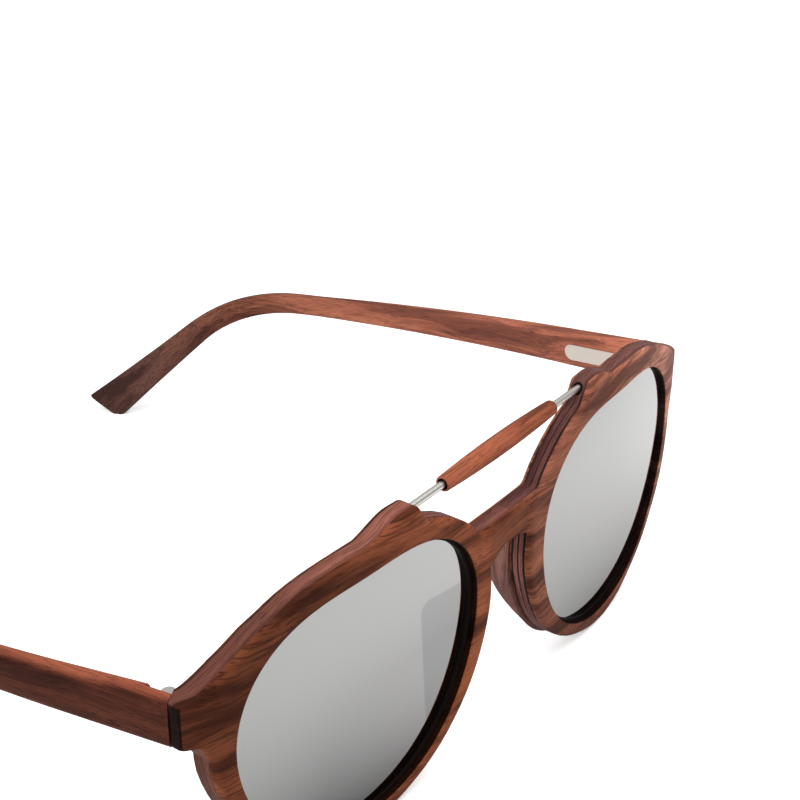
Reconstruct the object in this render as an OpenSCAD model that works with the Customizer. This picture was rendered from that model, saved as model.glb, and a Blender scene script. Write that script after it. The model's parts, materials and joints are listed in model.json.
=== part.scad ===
// Folding sunglasses with a laminated wooden front, bent wooden temples, mirrored
// lenses, a metal brow rod with a turned wooden sleeve, and sprung hinges.
//
// The glasses stand open on a table, on the bottoms of the two rims and on the two
// temple tips. X runs across the face, the front looks along -Y, the temples run
// along +Y and Z is up. The origin is on the table, in the middle of the footprint.
// "Left" is the wearer's left, on the +X side.
//
// The front is worked out in its own upright frame, with y the depth behind the
// middle of the face and z the height over the lens centres. That frame is then
// leaned forward by the wearing tilt and set down on the table.

/* [Lenses] */
// Width of each lens opening
lens_w = 50; // [46:0.5:53]
// Height of each lens opening
lens_h = 44; // [41:0.5:47]
// Distance between the two openings, over the nose
lens_gap = 19.6; // [18:0.2:22]
// How far the sides bulge high up and the bottom narrows
panto = 0.9; // [0.4:0.1:1.2]
// Lean of the outline towards the inner top corner
lens_lean = 0.55; // [0:0.05:0.9]
// How far the outline draws in at its lower outer corner
lens_tuck = 1.5; // [0.8:0.1:1.8]
// Squareness of the outline
lens_square = 0.6; // [0:0.05:0.9]
// Thickness of each lens
lens_t = 1.4; // [1.2:0.1:1.6]
// Depth of the lens behind the wooden face
lens_depth = 1.95; // [1.8:0.05:2.1]
// Wall of the dark liner that holds each lens
liner_t = 0.55; // [0.5:0.05:0.7]
// Depth of the groove in the liner
groove_d = 0.3; // [0.25:0.05:0.35]

/* [Front] */
// Radius of the bow of the front, seen from above
bow_r = 323; // [280:1:420]
// How far inside the outer edge of the opening the ends begin to wrap back
wrap_in = 1.8; // [1:0.1:2.6]
// Radius of the wrap at the ends
wrap_r = 26; // [24:1:32]
// Forward lean of the front when it stands on a table
tilt = 6.7; // [4:0.1:8]
// Thickness of the face veneer
face_t = 1.2; // [1.1:0.05:1.3]
// Thickness of the dark ply behind the face veneer
dark_t = 0.45; // [0.35:0.05:0.6]
// Thickness of the core
core_t = 1.8; // [1.7:0.05:2]
// Thickness of the thin dark ply behind the core
line_t = 0.35; // [0.3:0.05:0.45]
// Thickness of the back veneer
back_t = 0.75; // [0.7:0.05:0.95]
// Width of the rim over the lens
rim_top = 4.05; // [3.6:0.05:4.6]
// Width of the rim under the lens
rim_bottom = 2.6; // [2.3:0.05:3]
// Width of the rim beside the nose
rim_nose = 4.2; // [3.8:0.05:4.6]
// Width of the rim on the outer side
rim_outer = 3.2; // [2.9:0.05:3.6]
// How far the rim narrows between the brow peak and the bridge
brow_dip = 1.1; // [0.6:0.1:1.4]
// How far the rim narrows at its two lower corners
rim_slim = 0.5; // [0.3:0.05:0.7]
// How far the outer plies stand back, which softens the edges
edge_soft = 0.3; // [0.15:0.05:0.4]

/* [Bridge and brow] */
// Height of the bridge's upper edge over the lens centres
bridge_top = 15; // [14:0.1:16]
// Height of the arch under the bridge
bridge_arch = 9.3; // [8:0.1:10]
// Depth of the scoop across the face of the bridge
bridge_scoop = 0.6; // [0.3:0.05:0.65]
// Distance of each brow peak from the lens centre, towards the nose
peak_in = 10.8; // [9.5:0.1:12]
// Height of each brow peak over the rim
peak_h = 2.4; // [2.2:0.1:3]
// Diameter of the brow rod
rod_d = 1.2; // [1:0.05:1.4]
// Length of the rod inside each brow peak
rod_seat = 3; // [2:0.1:4]
// Length of the wooden sleeve on the rod
sleeve_l = 30; // [24:0.5:34]
// Diameter of the sleeve in the middle
sleeve_d = 3.3; // [3:0.1:3.8]
// Diameter of the sleeve at its ends
sleeve_end_d = 2.5; // [2.3:0.1:2.8]

/* [Nose pads] */
// Height of each nose pad behind the back veneer
pad_t = 5; // [4.4:0.1:5.4]
// How far each nose pad swells past the rim, towards the nose
pad_out = 0.5; // [0.3:0.1:0.7]
// Width of each nose pad
pad_w = 3.2; // [2.8:0.1:3.4]
// Radius of the pad's rounded back, seen from the side
pad_round = 16; // [15:0.5:18]

/* [Temples] */
// Distance from the opening's outer edge to the inside of the temple, at the hinge
temple_reach = 4; // [3.6:0.1:4.4]
// Height of the temple at the hinge
temple_h = 7.8; // [7.4:0.1:8.4]
// Height of the temple at its waist, before the bend
waist_h = 4; // [3.6:0.1:5]
// Height of the paddle at the tip
tip_h = 10.2; // [9:0.1:11]
// Thickness of the temple at the hinge
temple_t = 3.6; // [3.4:0.1:4]
// Thickness of the temple at the tip
tip_t = 2.7; // [2.3:0.1:3]
// Distance from the front to the bend behind the ear
bend_y = 116.5; // [112:0.5:122]
// Radius of the bend behind the ear
bend_r = 52; // [40:1:60]
// Downward slope of the straight part of the temple
temple_slope = 1.9; // [1.2:0.1:2.4]
// Downward angle of the tip
tip_angle = 37.5; // [34:0.5:41]
// Outward splay of the temple at the hinge
splay = 4.5; // [3.5:0.1:5]
// Radius of the inward sweep of the rear half, seen from above
sweep_r = 430; // [400:5:520]
// Distance from the front to the start of the inward sweep
sweep_y = 30; // [28:1:36]
// Upward angle of the cut across the tip
tip_cut = 27; // [20:1:30]
// Length of the flat on which each tip rests
tip_rest = 3; // [2.4:0.1:4]

/* [Hinges] */
// Height of the hinge over the lens centres
hinge_rise = 10.7; // [10.4:0.1:11.2]
// Outer diameter of the hinge knuckles
knuckle_d = 3; // [2.8:0.1:3.2]
// Height of each outer knuckle
knuckle_h = 1.2; // [1:0.1:1.4]
// Height of the moving eye between them
eye_h = 1.5; // [1.3:0.1:1.7]
// Diameter of the hinge screw
screw_d = 1.2; // [1:0.05:1.3]
// Length of the sprung hinge case
case_l = 15.2; // [15:0.1:18]
// Height of the sprung hinge case
case_h = 3.2; // [3:0.1:3.6]
// Thickness of the sprung hinge case
case_t = 2.5; // [2.4:0.05:2.7]
// How far the case stands out of the temple
case_proud = 0.7; // [0.5:0.05:0.9]
// Travel of the sprung slider
flex_travel = 1.5; // [1:0.1:1.8]
// Mitre angle where the temple meets the front
mitre = 25; // [22:1:28]

/* [Hidden] */

wood = [0.5, 0.27, 0.2];
wood_dark = [0.16, 0.09, 0.08];
wood_pink = [0.47, 0.3, 0.27];
wood_sleeve = [0.62, 0.32, 0.18];
silver = [0.84, 0.83, 0.8];
nickel = [0.78, 0.77, 0.74];
black = [0.06, 0.05, 0.05];
mirror_grey = [0.75, 0.75, 0.75];

outline_n = 72;
round_fn = 48;
bow_fn = 720;
eps = 0.01;
fit = 0.05;
glue = 0.02;

// How far the liner stays inside the back of the front
liner_in = 0.2;

// Lens outline: an ellipse-like curve with four named departures from it
lens_x = (lens_w + lens_gap) / 2;
lens_mean = (lens_w + lens_h) / 4 + lens_square;
lens_oval = (lens_w - lens_h) / 4;
function lens_r(a) = lens_mean + lens_oval * cos(2 * a) - lens_lean * sin(2 * a)
    + panto * sin(3 * a) - lens_square * cos(4 * a) - lens_tuck * pow(max(0, cos(a - 320)), 4);
function lens_pts(grow) = [for (i = [0 : outline_n - 1])
    let (a = 360 * i / outline_n, r = lens_r(a) + grow)
    [lens_x + r * cos(a), r * sin(a)]];

// Rim width, blended round the lens from its four named widths
rim_mean = (rim_top + rim_bottom + rim_nose + rim_outer) / 4;
rim_two = (rim_outer + rim_nose - rim_top - rim_bottom) / 4;
function rim_w(a) = rim_mean + (rim_top - rim_bottom) / 2 * sin(a)
    + (rim_outer - rim_nose) / 2 * cos(a) + rim_two * cos(2 * a)
    - brow_dip * pow(max(0, cos(a - 132)), 12) - rim_slim * 2 * max(0, -sin(a)) * abs(cos(a));
function rim_pt(a, grow) = let (r = lens_r(a) + rim_w(a) + grow)
    [lens_x + r * cos(a), r * sin(a)];

// Front: depths of the plies, and the bow of any depth at a given x
dark_y = face_t;
core_y = dark_y + dark_t;
line_y = core_y + core_t;
back_y = line_y + line_t;
front_t = back_y + back_t;
front_span = 40;
front_deep = 34;
wrap_x = lens_x + lens_w / 2 - wrap_in;
wrap_a = asin(wrap_x / bow_r);
wrap_cx = (bow_r - wrap_r) * sin(wrap_a);
wrap_cy = bow_r - (bow_r - wrap_r) * cos(wrap_a);
function bow(x, depth) = x < wrap_x - depth * sin(wrap_a)
    ? bow_r - sqrt(pow(bow_r - depth, 2) - x * x)
    : wrap_cy - sqrt(pow(wrap_r - depth, 2) - pow(x - wrap_cx, 2));

// The lowest point of the rims sets the height of the lens centres
rim_low = lens_r(270) + rim_w(270);
lens_z = rim_low * cos(tilt) - bow(lens_x, core_y) * sin(tilt);
function lean_y(y, z) = y * cos(tilt) - z * sin(tilt);
function lean_z(y, z) = lens_z + y * sin(tilt) + z * cos(tilt);

// Brow peaks and rod
rim_crown = rim_pt(90, 0)[1];
peak_x = lens_x - peak_in;
peak_z = rim_crown + peak_h;
peak_round = 0.8;
peak_flat = 2.5;
peak_run = 9;
peak_n = 10;
rod_z = peak_z - rod_d / 2 - 0.75;
rod_y = bow(peak_x, core_y + core_t / 2);
rod_entry = peak_x - 1.9;
rod_half = rod_entry + rod_seat;
rod_mouth_d = rod_d + 0.7;
rod_mouth_l = 0.9;
rod_fn = 40;

// Radius of the scoop across the face of the bridge
scoop_r = 24;

// Nose pads: the stretch of rim they follow, and their highest point
pad_from = 154;
pad_to = 238;
pad_step = 6;
pad_edge = 0.6;
pad_drop = 2;

// End pieces and the mitred joint with the temples
temple_in = lens_x + lens_w / 2 + temple_reach;
end_x = temple_in + temple_t - 0.5;
end_in = lens_w / 2;
end_h = temple_h;
end_z = hinge_rise + 0.3;
end_low = end_z - end_h / 2;
end_round = 0.8;
butt_gap = 0.12;
butt_y = bow(temple_in, front_t);

// Hinge axis, upright, just behind the end piece
axis_x = temple_in - 0.4;
axis_back = 0.45;
axis_y = lean_y(bow(axis_x, front_t), hinge_rise) + knuckle_d / 2 + axis_back;
axis_z = lean_z(bow(axis_x, front_t), hinge_rise);
hinge_h = eye_h + 2 * knuckle_h + 2 * fit;
foot_w = knuckle_d - 0.6;
foot_gap = 0.1;
leaf_t = 0.9;
leaf_w = 4.6;
leaf_h = 5.4;
leaf_x = axis_x - 2.1;

// Each knuckle's foot reaches halfway into the leaf, over its lean and over the hollow of the wrap
foot_hollow = pow(axis_x - leaf_x, 2) / (2 * (wrap_r - front_t));
foot_l = knuckle_d / 2 + axis_back + foot_hollow + hinge_h / 2 * tan(tilt) + leaf_t / 2;
leaf_turn = asin((leaf_x - wrap_cx) / (wrap_r - front_t));
leaf_screw_d = 1;
leaf_screw_l = 2.6;
screw_head_d = 2.1;
screw_head_h = 0.6;

// Sprung case and slider, laid along the straight part of the temple
case_s = knuckle_d / 2 + 0.6;
channel_t = 1.3;
channel_h = 2.3;
channel_l = 5.4;
wall_l = 1;
spring_bore = 1.8;
tongue_l = case_s + channel_l - 0.35;
slider_rod_d = 0.8;
nut_d = 1.55;
nut_l = 1.1;
spring_l = 5.2;
spring_d = 1.55;
spring_wire = 0.26;
spring_turns = 6;
spring_sides = 6;
spring_steps = 12;
case_x = temple_in - axis_x + case_t / 2 - case_proud;
pin_d = 0.8;
pin_l = 1;
relief_y = case_s + 0.2;

// Temple path: straight, an arc down behind the ear, then straight to the tip
stations = 56;
ring_n = 24;
ring_power = 0.42;
bend_turn = tip_angle - temple_slope;
bend_tan = bend_r * tan(bend_turn / 2);
bend_l = bend_r * bend_turn * PI / 180;
start_s = -6;
straight_l = (bend_y - axis_y) / cos(temple_slope) - bend_tan;
corner_z = axis_z - (bend_y - axis_y) * tan(temple_slope);
end_s = straight_l + bend_l + (corner_z - bend_tan * sin(tip_angle)) / sin(tip_angle) + 9;
tip_y = bend_y + corner_z / tan(tip_angle);
function path_a(s) = s < straight_l ? temple_slope
    : s < straight_l + bend_l ? temple_slope + (s - straight_l) / bend_r * 180 / PI
    : tip_angle;
function path_yz(s) = s < straight_l
    ? [axis_y + s * cos(temple_slope), axis_z - s * sin(temple_slope)]
    : s < straight_l + bend_l
    ? let (a = path_a(s), p = path_yz(straight_l - eps))
      [p[0] + bend_r * (sin(a) - sin(temple_slope)), p[1] - bend_r * (cos(temple_slope) - cos(a))]
    : let (p = path_yz(straight_l + bend_l - eps), d = s - straight_l - bend_l)
      [p[0] + d * cos(tip_angle), p[1] - d * sin(tip_angle)];
waist_s = straight_l - 6;
paddle_power = 1.9;
function temple_hh(s) = s < waist_s ? temple_h + (waist_h - temple_h) * max(s, -4) / waist_s
    : waist_h + (tip_h - waist_h) * pow((s - waist_s) / (end_s - waist_s), paddle_power);
function temple_tt(s) = temple_t + (tip_t - temple_t) * max(s, 0) / end_s;
function sweep(y) = y < sweep_y ? 0 : sweep_r - sqrt(sweep_r * sweep_r - pow(y - sweep_y, 2));
function temple_x(y) = temple_in + (y - axis_y) * tan(splay) - sweep(y);
function plan_a(y) = splay - (y < sweep_y ? 0 : asin((y - sweep_y) / sweep_r));

// One rounded-rectangle section of the temple, square to its path
function softened(v) = sign(v) * pow(abs(v), ring_power);
function temple_ring(s) = let (p = path_yz(s), a = path_a(s), f = plan_a(p[0]),
        t = temple_tt(s), h = temple_hh(s), x = temple_x(p[0]) + t / 2 * cos(f))
    [for (i = [0 : ring_n - 1]) let (q = 360 * (i + 0.5) / ring_n,
        u = t / 2 * softened(cos(q)), v = h / 2 * softened(sin(q)))
        [x + u * cos(f) , p[0] - u * sin(f) + v * sin(a), p[1] + v * cos(a)]];
function station_s(i) = start_s + (end_s - start_s) * i / (stations - 1);

// Closed skin over a stack of rings
function skin_faces(rings, n) = concat([[for (i = [0 : n - 1]) i]],
    [for (j = [0 : rings - 2], i = [0 : n - 1])
        [j * n + i, (j + 1) * n + i, (j + 1) * n + (i + 1) % n, j * n + (i + 1) % n]],
    [[for (i = [n - 1 : -1 : 0]) (rings - 1) * n + i]]);

// Middle of the footprint, from the brow peaks to the heel of the tips
front_low_y = lean_y(bow(peak_x, 0), peak_z);
paddle_h = temple_hh(end_s - 8);
rest_y = tip_y - paddle_h / 2 / sin(tip_angle);
heel_y = ((tip_y + paddle_h / 2 / sin(tip_angle)) * tan(tip_angle) + (rest_y + tip_rest) * tan(tip_cut))
    / (tan(tip_angle) + tan(tip_cut));
mid_y = (front_low_y + heel_y) / 2;

// Placing helpers
module on_table() translate([0, -mid_y, 0]) children();
module leaned() translate([0, 0, lens_z]) rotate([tilt, 0, 0]) children();
module in_front() on_table() leaned() children();
module on_right() mirror([1, 0, 0]) children();
module at_axis() on_table() translate([axis_x, axis_y, axis_z]) children();
module along_case() at_axis() rotate([-temple_slope, 0, -splay]) children();

// Outlines of the front, in x and z
module lens_shape(grow) polygon(lens_pts(grow));

module rim_shape() polygon([for (i = [0 : outline_n - 1]) rim_pt(360 * i / outline_n, 0)]);

function peak_ramp(t) = [peak_x + peak_flat + peak_run * t, peak_z - (peak_h + 0.3) * t * t * (3 - 2 * t)];

module peak_shape() offset(r = peak_round, $fn = 24) offset(delta = -peak_round)
    polygon(concat([[peak_x + peak_flat + peak_run, rim_crown - 3], [peak_x, rim_crown - 3],
                    [rod_entry - 0.6, rim_crown - 0.8], [peak_x - 0.2, peak_z]],
        [for (i = [0 : peak_n]) peak_ramp(i / peak_n)]));

module end_shape() offset(r = end_round, $fn = 24) offset(delta = -end_round)
    polygon([[lens_x + 0.64 * end_in, rim_crown - 8], [lens_x + 0.54 * end_in, rim_crown - 1.8],
             [lens_x + 0.8 * end_in, rim_crown - 4.2], [lens_x + end_in, rim_crown - 6.9],
             [end_x - 2.9, end_z + end_h / 2 + 0.3],
             [end_x, end_z + end_h / 2], [end_x, end_low],
             [end_x - 2.4, end_low - 0.4], [end_x - 3.1, end_low - 1.3], [end_x - 3.8, end_low - 3],
             [lens_x + 0.8 * end_in, -2]]);

module half_shape() {
  rim_shape();
  peak_shape();
  end_shape();
  translate([-1, bridge_arch]) square([rim_pt(150, 0)[0] + 4, bridge_top - bridge_arch]);
}

module front_shape(inset) difference() {
  offset(delta = -inset) offset(r = -1.3, $fn = 24) offset(delta = 1.3) {
    half_shape();
    mirror([1, 0]) half_shape();
  }
  lens_shape(inset / 2);
  mirror([1, 0]) lens_shape(inset / 2);
}

// A prism through the whole front, and the bowed layer between two depths
module through_front() translate([0, front_deep, 0]) rotate([90, 0, 0])
    linear_extrude(height = front_deep + 2) children();

module curved_layer(r, depth_a, depth_b, n) difference() {
  cylinder(r = r - depth_a, h = 2 * front_span, $fn = n);
  translate([0, 0, -1]) cylinder(r = r - depth_b, h = 2 * front_span + 2, $fn = n);
}

module bowed_layer(depth_a, depth_b) translate([0, 0, -front_span]) {
  intersection() {
    translate([0, bow_r, 0]) curved_layer(bow_r, depth_a, depth_b, bow_fn);
    linear_extrude(height = 2 * front_span) polygon([[0, bow_r],
        [-1.1 * bow_r * tan(wrap_a), -0.1 * bow_r], [1.1 * bow_r * tan(wrap_a), -0.1 * bow_r]]);
  }
  for (side = [0, 1]) mirror([side, 0, 0]) intersection() {
    translate([wrap_cx, wrap_cy, 0]) curved_layer(wrap_r, depth_a, depth_b, 180);
    translate([wrap_cx, wrap_cy, 0]) rotate([0, 0, wrap_a]) translate([-eps, -2 * wrap_r, 0])
        cube([2 * wrap_r, 2 * wrap_r, 2 * front_span]);
  }
}

// Cuts in the front: the mitre, the hinge pocket, the rod bores and the bridge scoop
module mitre_cut(gap) linear_extrude(height = 2 * front_span, center = true)
    polygon([[temple_in - 0.4, butt_y + 0.4 * tan(mitre) + gap],
             [temple_in + 8, butt_y - 8 * tan(mitre) + gap],
             [temple_in + 8, butt_y + 9], [temple_in - 0.4, butt_y + 9]]);

module leaf_seat() translate([leaf_x, bow(leaf_x, front_t), hinge_rise]) rotate([0, 0, leaf_turn])
    children();

module leaf_pocket() leaf_seat() translate([-leaf_w / 2, -leaf_t, -leaf_h / 2])
    cube([leaf_w, leaf_t + 2, leaf_h]);

module leaf_screw_spots() for (z = [-1, 1]) leaf_seat()
    translate([-leaf_w / 2 + 1.1, 0, z * leaf_h / 4]) children();

module leaf_screw_body(grow) rotate([90, 0, 0]) {
  cylinder(d = leaf_screw_d + 2 * grow, h = leaf_screw_l, $fn = round_fn);
}

module front_cuts() {
  for (side = [0, 1]) mirror([side, 0, 0]) {
    mitre_cut(0);
    leaf_pocket();
    leaf_screw_spots() leaf_screw_body(0);
  }
  translate([-rod_half, rod_y, rod_z]) rotate([0, 90, 0])
      cylinder(d = rod_d, h = 2 * rod_half, $fn = rod_fn);
  translate([0, rod_y, rod_z]) rotate([0, 90, 0])
      cylinder(d = rod_mouth_d, h = 2 * (rod_entry + rod_mouth_l), center = true, $fn = rod_fn);
  translate([0, bridge_scoop - scoop_r, -front_span]) cylinder(r = scoop_r, h = 2 * front_span, $fn = 240);
}

module ply(depth_a, depth_b, inset) difference() {
  in_front() difference() {
    intersection() {
      through_front() front_shape(inset);
      bowed_layer(depth_a, depth_b);
    }
    front_cuts();
  }
  for (side = [0, 1]) mirror([side, 0, 0]) at_axis() knuckle_feet(foot_gap);
}

module ply_face() color(wood) ply(0, dark_y, edge_soft);
module ply_dark() color(wood_dark) ply(dark_y, core_y, edge_soft / 3);
module ply_core() color(wood_pink) ply(core_y, line_y, 0);
module ply_line() color(wood_dark) ply(line_y, back_y, edge_soft / 3);
module ply_back() color(wood) ply(back_y, front_t, edge_soft);

// Nose pads: crescents carved to the nose side of each rim, rounded from end to end
function pad_swell(a) = sin(180 * (a - pad_from) / (pad_to - pad_from));

module pad_shape() polygon(concat(
    [for (a = [pad_from : pad_step : pad_to]) rim_pt(a, pad_out * pad_swell(a) - edge_soft)],
    [for (a = [pad_to : -pad_step : pad_from])
        rim_pt(a, -edge_soft - pad_edge - (pad_w - pad_edge) * pad_swell(a))]));

module nose_pad() intersection() {
  through_front() pad_shape();
  translate([0, bow_r, -front_span]) cylinder(r = bow_r - front_t, h = 2 * front_span, $fn = bow_fn);
  translate([0, front_t + pad_t - pad_round, -pad_drop]) rotate([0, 90, 0])
      cylinder(r = pad_round, h = lens_x, $fn = 180);
}

module nose_pad_left() color(wood_pink) in_front() nose_pad();
module nose_pad_right() color(wood_pink) in_front() on_right() nose_pad();

// Lens liners: dark rings in the openings, grooved for the lens
module liner() difference() {
  intersection() {
    through_front() difference() {
      lens_shape(-glue);
      lens_shape(-liner_t);
    }
    bowed_layer(dark_y, front_t - liner_in);
  }
  intersection() {
    through_front() lens_shape(groove_d - liner_t);
    lens_layer();
  }
}

module liner_left() color(black) in_front() liner();
module liner_right() color(black) in_front() on_right() liner();

module lens_layer() translate([0, bow_r, -front_span])
    curved_layer(bow_r, lens_depth, lens_depth + lens_t, bow_fn);

module lens() intersection() {
  through_front() lens_shape(groove_d - liner_t - fit);
  lens_layer();
}

module lens_left() color(mirror_grey) in_front() lens();
module lens_right() color(mirror_grey) in_front() on_right() lens();

// Brow rod, seated in both peaks, and the turned sleeve on it
module at_rod() in_front() translate([0, rod_y, rod_z]) rotate([0, 90, 0]) children();

module brow_rod() color(silver) at_rod()
    cylinder(d = rod_d, h = 2 * rod_half, center = true, $fn = rod_fn);

// The sleeve's side is an arc through both ends and the middle
sleeve_rise = (sleeve_d - sleeve_end_d) / 2;
sleeve_arc = (pow(sleeve_l / 2, 2) + pow(sleeve_rise, 2)) / (2 * sleeve_rise);
sleeve_n = 18;
function sleeve_r(z) = sqrt(sleeve_arc * sleeve_arc - z * z) - sleeve_arc + sleeve_d / 2;

// Both ends are hollowed a little round the rod
sleeve_mouth_r = (rod_d + sleeve_end_d) / 4;
sleeve_mouth_l = 1.4;
sleeve_inner = sleeve_l / 2 - sleeve_mouth_l;

module brow_sleeve() color(wood_sleeve) at_rod() rotate_extrude($fn = round_fn)
    polygon(concat([[sleeve_mouth_r, sleeve_l / 2], [sleeve_mouth_r, sleeve_inner],
                    [rod_d / 2 + glue, sleeve_inner], [rod_d / 2 + glue, -sleeve_inner],
                    [sleeve_mouth_r, -sleeve_inner], [sleeve_mouth_r, -sleeve_l / 2]],
        [for (i = [0 : sleeve_n]) let (z = sleeve_l * (i / sleeve_n - 0.5)) [sleeve_r(z), z]]));

// Fixed hinge leaf: a plate let into the back of the end piece, and two knuckles
module knuckle_spots() for (side = [-1, 1])
    translate([0, 0, side * (eye_h / 2 + fit + knuckle_h / 2)]) children();

module knuckle_feet(gap) knuckle_spots()
    translate([-knuckle_d / 2 - gap, -foot_l - gap, -knuckle_h / 2 - gap])
    cube([foot_w + 2 * gap, foot_l + gap, knuckle_h + 2 * gap]);

module knuckles() difference() {
  union() {
    knuckle_spots() cylinder(d = knuckle_d, h = knuckle_h, center = true, $fn = round_fn);
    knuckle_feet(0);
  }
  cylinder(d = screw_d + fit, h = 2 * hinge_h, center = true, $fn = round_fn);
}

module hinge_leaf() difference() {
  union() {
    in_front() leaf_seat() translate([-leaf_w / 2, -leaf_t, -leaf_h / 2])
        cube([leaf_w, leaf_t, leaf_h]);
    at_axis() knuckles();
  }
  in_front() leaf_screw_spots() leaf_screw_body(0);
}

module hinge_leaf_left() color(nickel) hinge_leaf();
module hinge_leaf_right() color(nickel) on_right() hinge_leaf();

module leaf_screws() color(silver) for (side = [0, 1]) mirror([side, 0, 0])
    in_front() leaf_screw_spots() leaf_screw_body(0);

// Hinge screw, from above, down through both knuckles and the eye
module hinge_screw() at_axis() {
  translate([0, 0, hinge_h / 2]) cylinder(d = screw_head_d, h = screw_head_h, $fn = round_fn);
  translate([0, 0, -hinge_h / 2]) cylinder(d = screw_d, h = hinge_h + eps, $fn = round_fn);
}

module hinge_screw_left() color(silver) hinge_screw();
module hinge_screw_right() color(silver) on_right() hinge_screw();

// Sprung hinge case: an oblong block with a round rear end, a channel for the
// tongue, a wall, and a blind bore for the spring
module case_block() translate([case_x, 0, 0]) {
  translate([-case_t / 2, case_s, -case_h / 2]) cube([case_t, case_l - case_h / 2, case_h]);
  translate([-case_t / 2, case_s + case_l - case_h / 2, 0]) rotate([0, 90, 0])
      cylinder(d = case_h, h = case_t, $fn = round_fn);
}

module case_inside() translate([case_x, case_s, 0]) {
  translate([-channel_t / 2, -1, -channel_h / 2]) cube([channel_t, channel_l + 1, channel_h]);
  rotate([-90, 0, 0]) cylinder(d = slider_rod_d + 2 * fit, h = channel_l + wall_l + 1, $fn = round_fn);
  translate([0, channel_l + wall_l, 0]) rotate([-90, 0, 0])
      cylinder(d = spring_bore, h = spring_l + nut_l + 1, $fn = round_fn);
}

module hinge_case() along_case() difference() {
  case_block();
  case_inside();
}

module hinge_case_left() color(nickel) hinge_case();
module hinge_case_right() color(nickel) on_right() hinge_case();

module pin_spots() for (y = [case_s + 2.2, case_s + case_l - 2.4])
    translate([case_x + case_t / 2, y, 0]) rotate([0, 90, 0]) children();

module case_pins() along_case() pin_spots() cylinder(d = pin_d, h = pin_l, $fn = round_fn);

module case_pins_left() color(nickel) case_pins();
module case_pins_right() color(nickel) on_right() case_pins();

// Slider: the eye on the hinge screw, the tongue in the channel and the spring rod
module slider() difference() {
  union() {
    at_axis() cylinder(d = knuckle_d, h = eye_h, center = true, $fn = round_fn);
    along_case() translate([case_x - channel_t / 2 + fit, 0, -eye_h / 2])
        cube([channel_t - 2 * fit, tongue_l, eye_h]);
    along_case() translate([case_x, tongue_l - eps, 0]) rotate([-90, 0, 0])
        cylinder(d = slider_rod_d, h = case_s + channel_l + wall_l + spring_l + nut_l - tongue_l,
                 $fn = round_fn);
  }
  at_axis() cylinder(d = screw_d + fit, h = 2 * eye_h, center = true, $fn = round_fn);
}

module slider_left() color(silver) slider();
module slider_right() color(silver) on_right() slider();

module at_spring() along_case() translate([case_x, case_s + channel_l + wall_l, 0]) rotate([-90, 0, 0])
    children();

module spring_nut() at_spring() translate([0, 0, spring_l]) difference() {
  cylinder(d = nut_d, h = nut_l, $fn = round_fn);
  translate([0, 0, -1]) cylinder(d = slider_rod_d, h = nut_l + 2, $fn = round_fn);
}

module spring_nut_left() color(silver) spring_nut();
module spring_nut_right() color(silver) on_right() spring_nut();

// Compression spring: one wire swept along a helix between the wall and the nut
spring_rings = spring_turns * spring_steps + 1;
spring_rise = spring_l - spring_wire - 2 * fit;
function spring_pt(k, j) = let (a = 360 * k / spring_steps, b = 360 * j / spring_sides,
        r = (spring_d - spring_wire) / 2 + spring_wire / 2 * cos(b))
    [r * cos(a), r * sin(a), fit + spring_wire / 2 + spring_rise * k / (spring_rings - 1)
        + spring_wire / 2 * sin(b)];

module spring() at_spring() polyhedron(convexity = 8,
    points = [for (k = [0 : spring_rings - 1], j = [0 : spring_sides - 1]) spring_pt(k, j)],
    faces = skin_faces(spring_rings, spring_sides));

module spring_left() color(silver) spring();
module spring_right() color(silver) on_right() spring();

// Temple: rounded sections lofted along the path, mitred at the front, relieved
// round the knuckles, pocketed for the case and cut off level at the tip
module temple_loft() polyhedron(convexity = 6,
    points = [for (i = [0 : stations - 1]) each temple_ring(station_s(i))],
    faces = skin_faces(stations, ring_n));

module butt_cut() leaned() linear_extrude(height = 2 * front_span, center = true)
    polygon([[temple_in - 12, butt_y + 12 * tan(mitre) + butt_gap],
             [temple_in + 9, butt_y - 9 * tan(mitre) + butt_gap],
             [temple_in + 9, butt_y - 20], [temple_in - 12, butt_y - 20]]);

module tip_cuts() {
  translate([0, rest_y - 40, -30]) cube([2 * temple_in, 90, 30]);
  translate([0, rest_y + tip_rest, 0]) rotate([tip_cut, 0, 0])
      translate([0, -eps, -40]) cube([2 * temple_in, 60, 40]);
}

module temple() difference() {
  on_table() difference() {
    temple_loft();
    butt_cut();
    tip_cuts();
    translate([axis_x, axis_y, axis_z]) translate([-5, -8, -temple_h])
        cube([5 + knuckle_d / 2 + 0.25, 8 + relief_y, 2 * temple_h]);
  }
  along_case() {
    case_block();
    pin_spots() cylinder(d = pin_d, h = pin_l, $fn = round_fn);
  }
}

module temple_left() color(wood) temple();
module temple_right() color(wood) on_right() temple();

ply_face();
ply_dark();
ply_core();
ply_line();
ply_back();
nose_pad_left();
nose_pad_right();
liner_left();
liner_right();
lens_left();
lens_right();
brow_rod();
brow_sleeve();
hinge_leaf_left();
hinge_leaf_right();
leaf_screws();
hinge_screw_left();
hinge_screw_right();
temple_left();
temple_right();
hinge_case_left();
hinge_case_right();
case_pins_left();
case_pins_right();
slider_left();
slider_right();
spring_left();
spring_right();
spring_nut_left();
spring_nut_right();
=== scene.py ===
"""Wooden sunglasses: finished surfaces, materials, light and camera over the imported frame.

Sizes inside the classes are in millimetres and in the same upright front frame as the CAD source:
x across the face, y the depth behind the middle of the face, z the height over the lens centres.
"""

import json
import logging
import math
from dataclasses import dataclass
from enum import Enum
from typing import ClassVar, Sequence, Union

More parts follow.
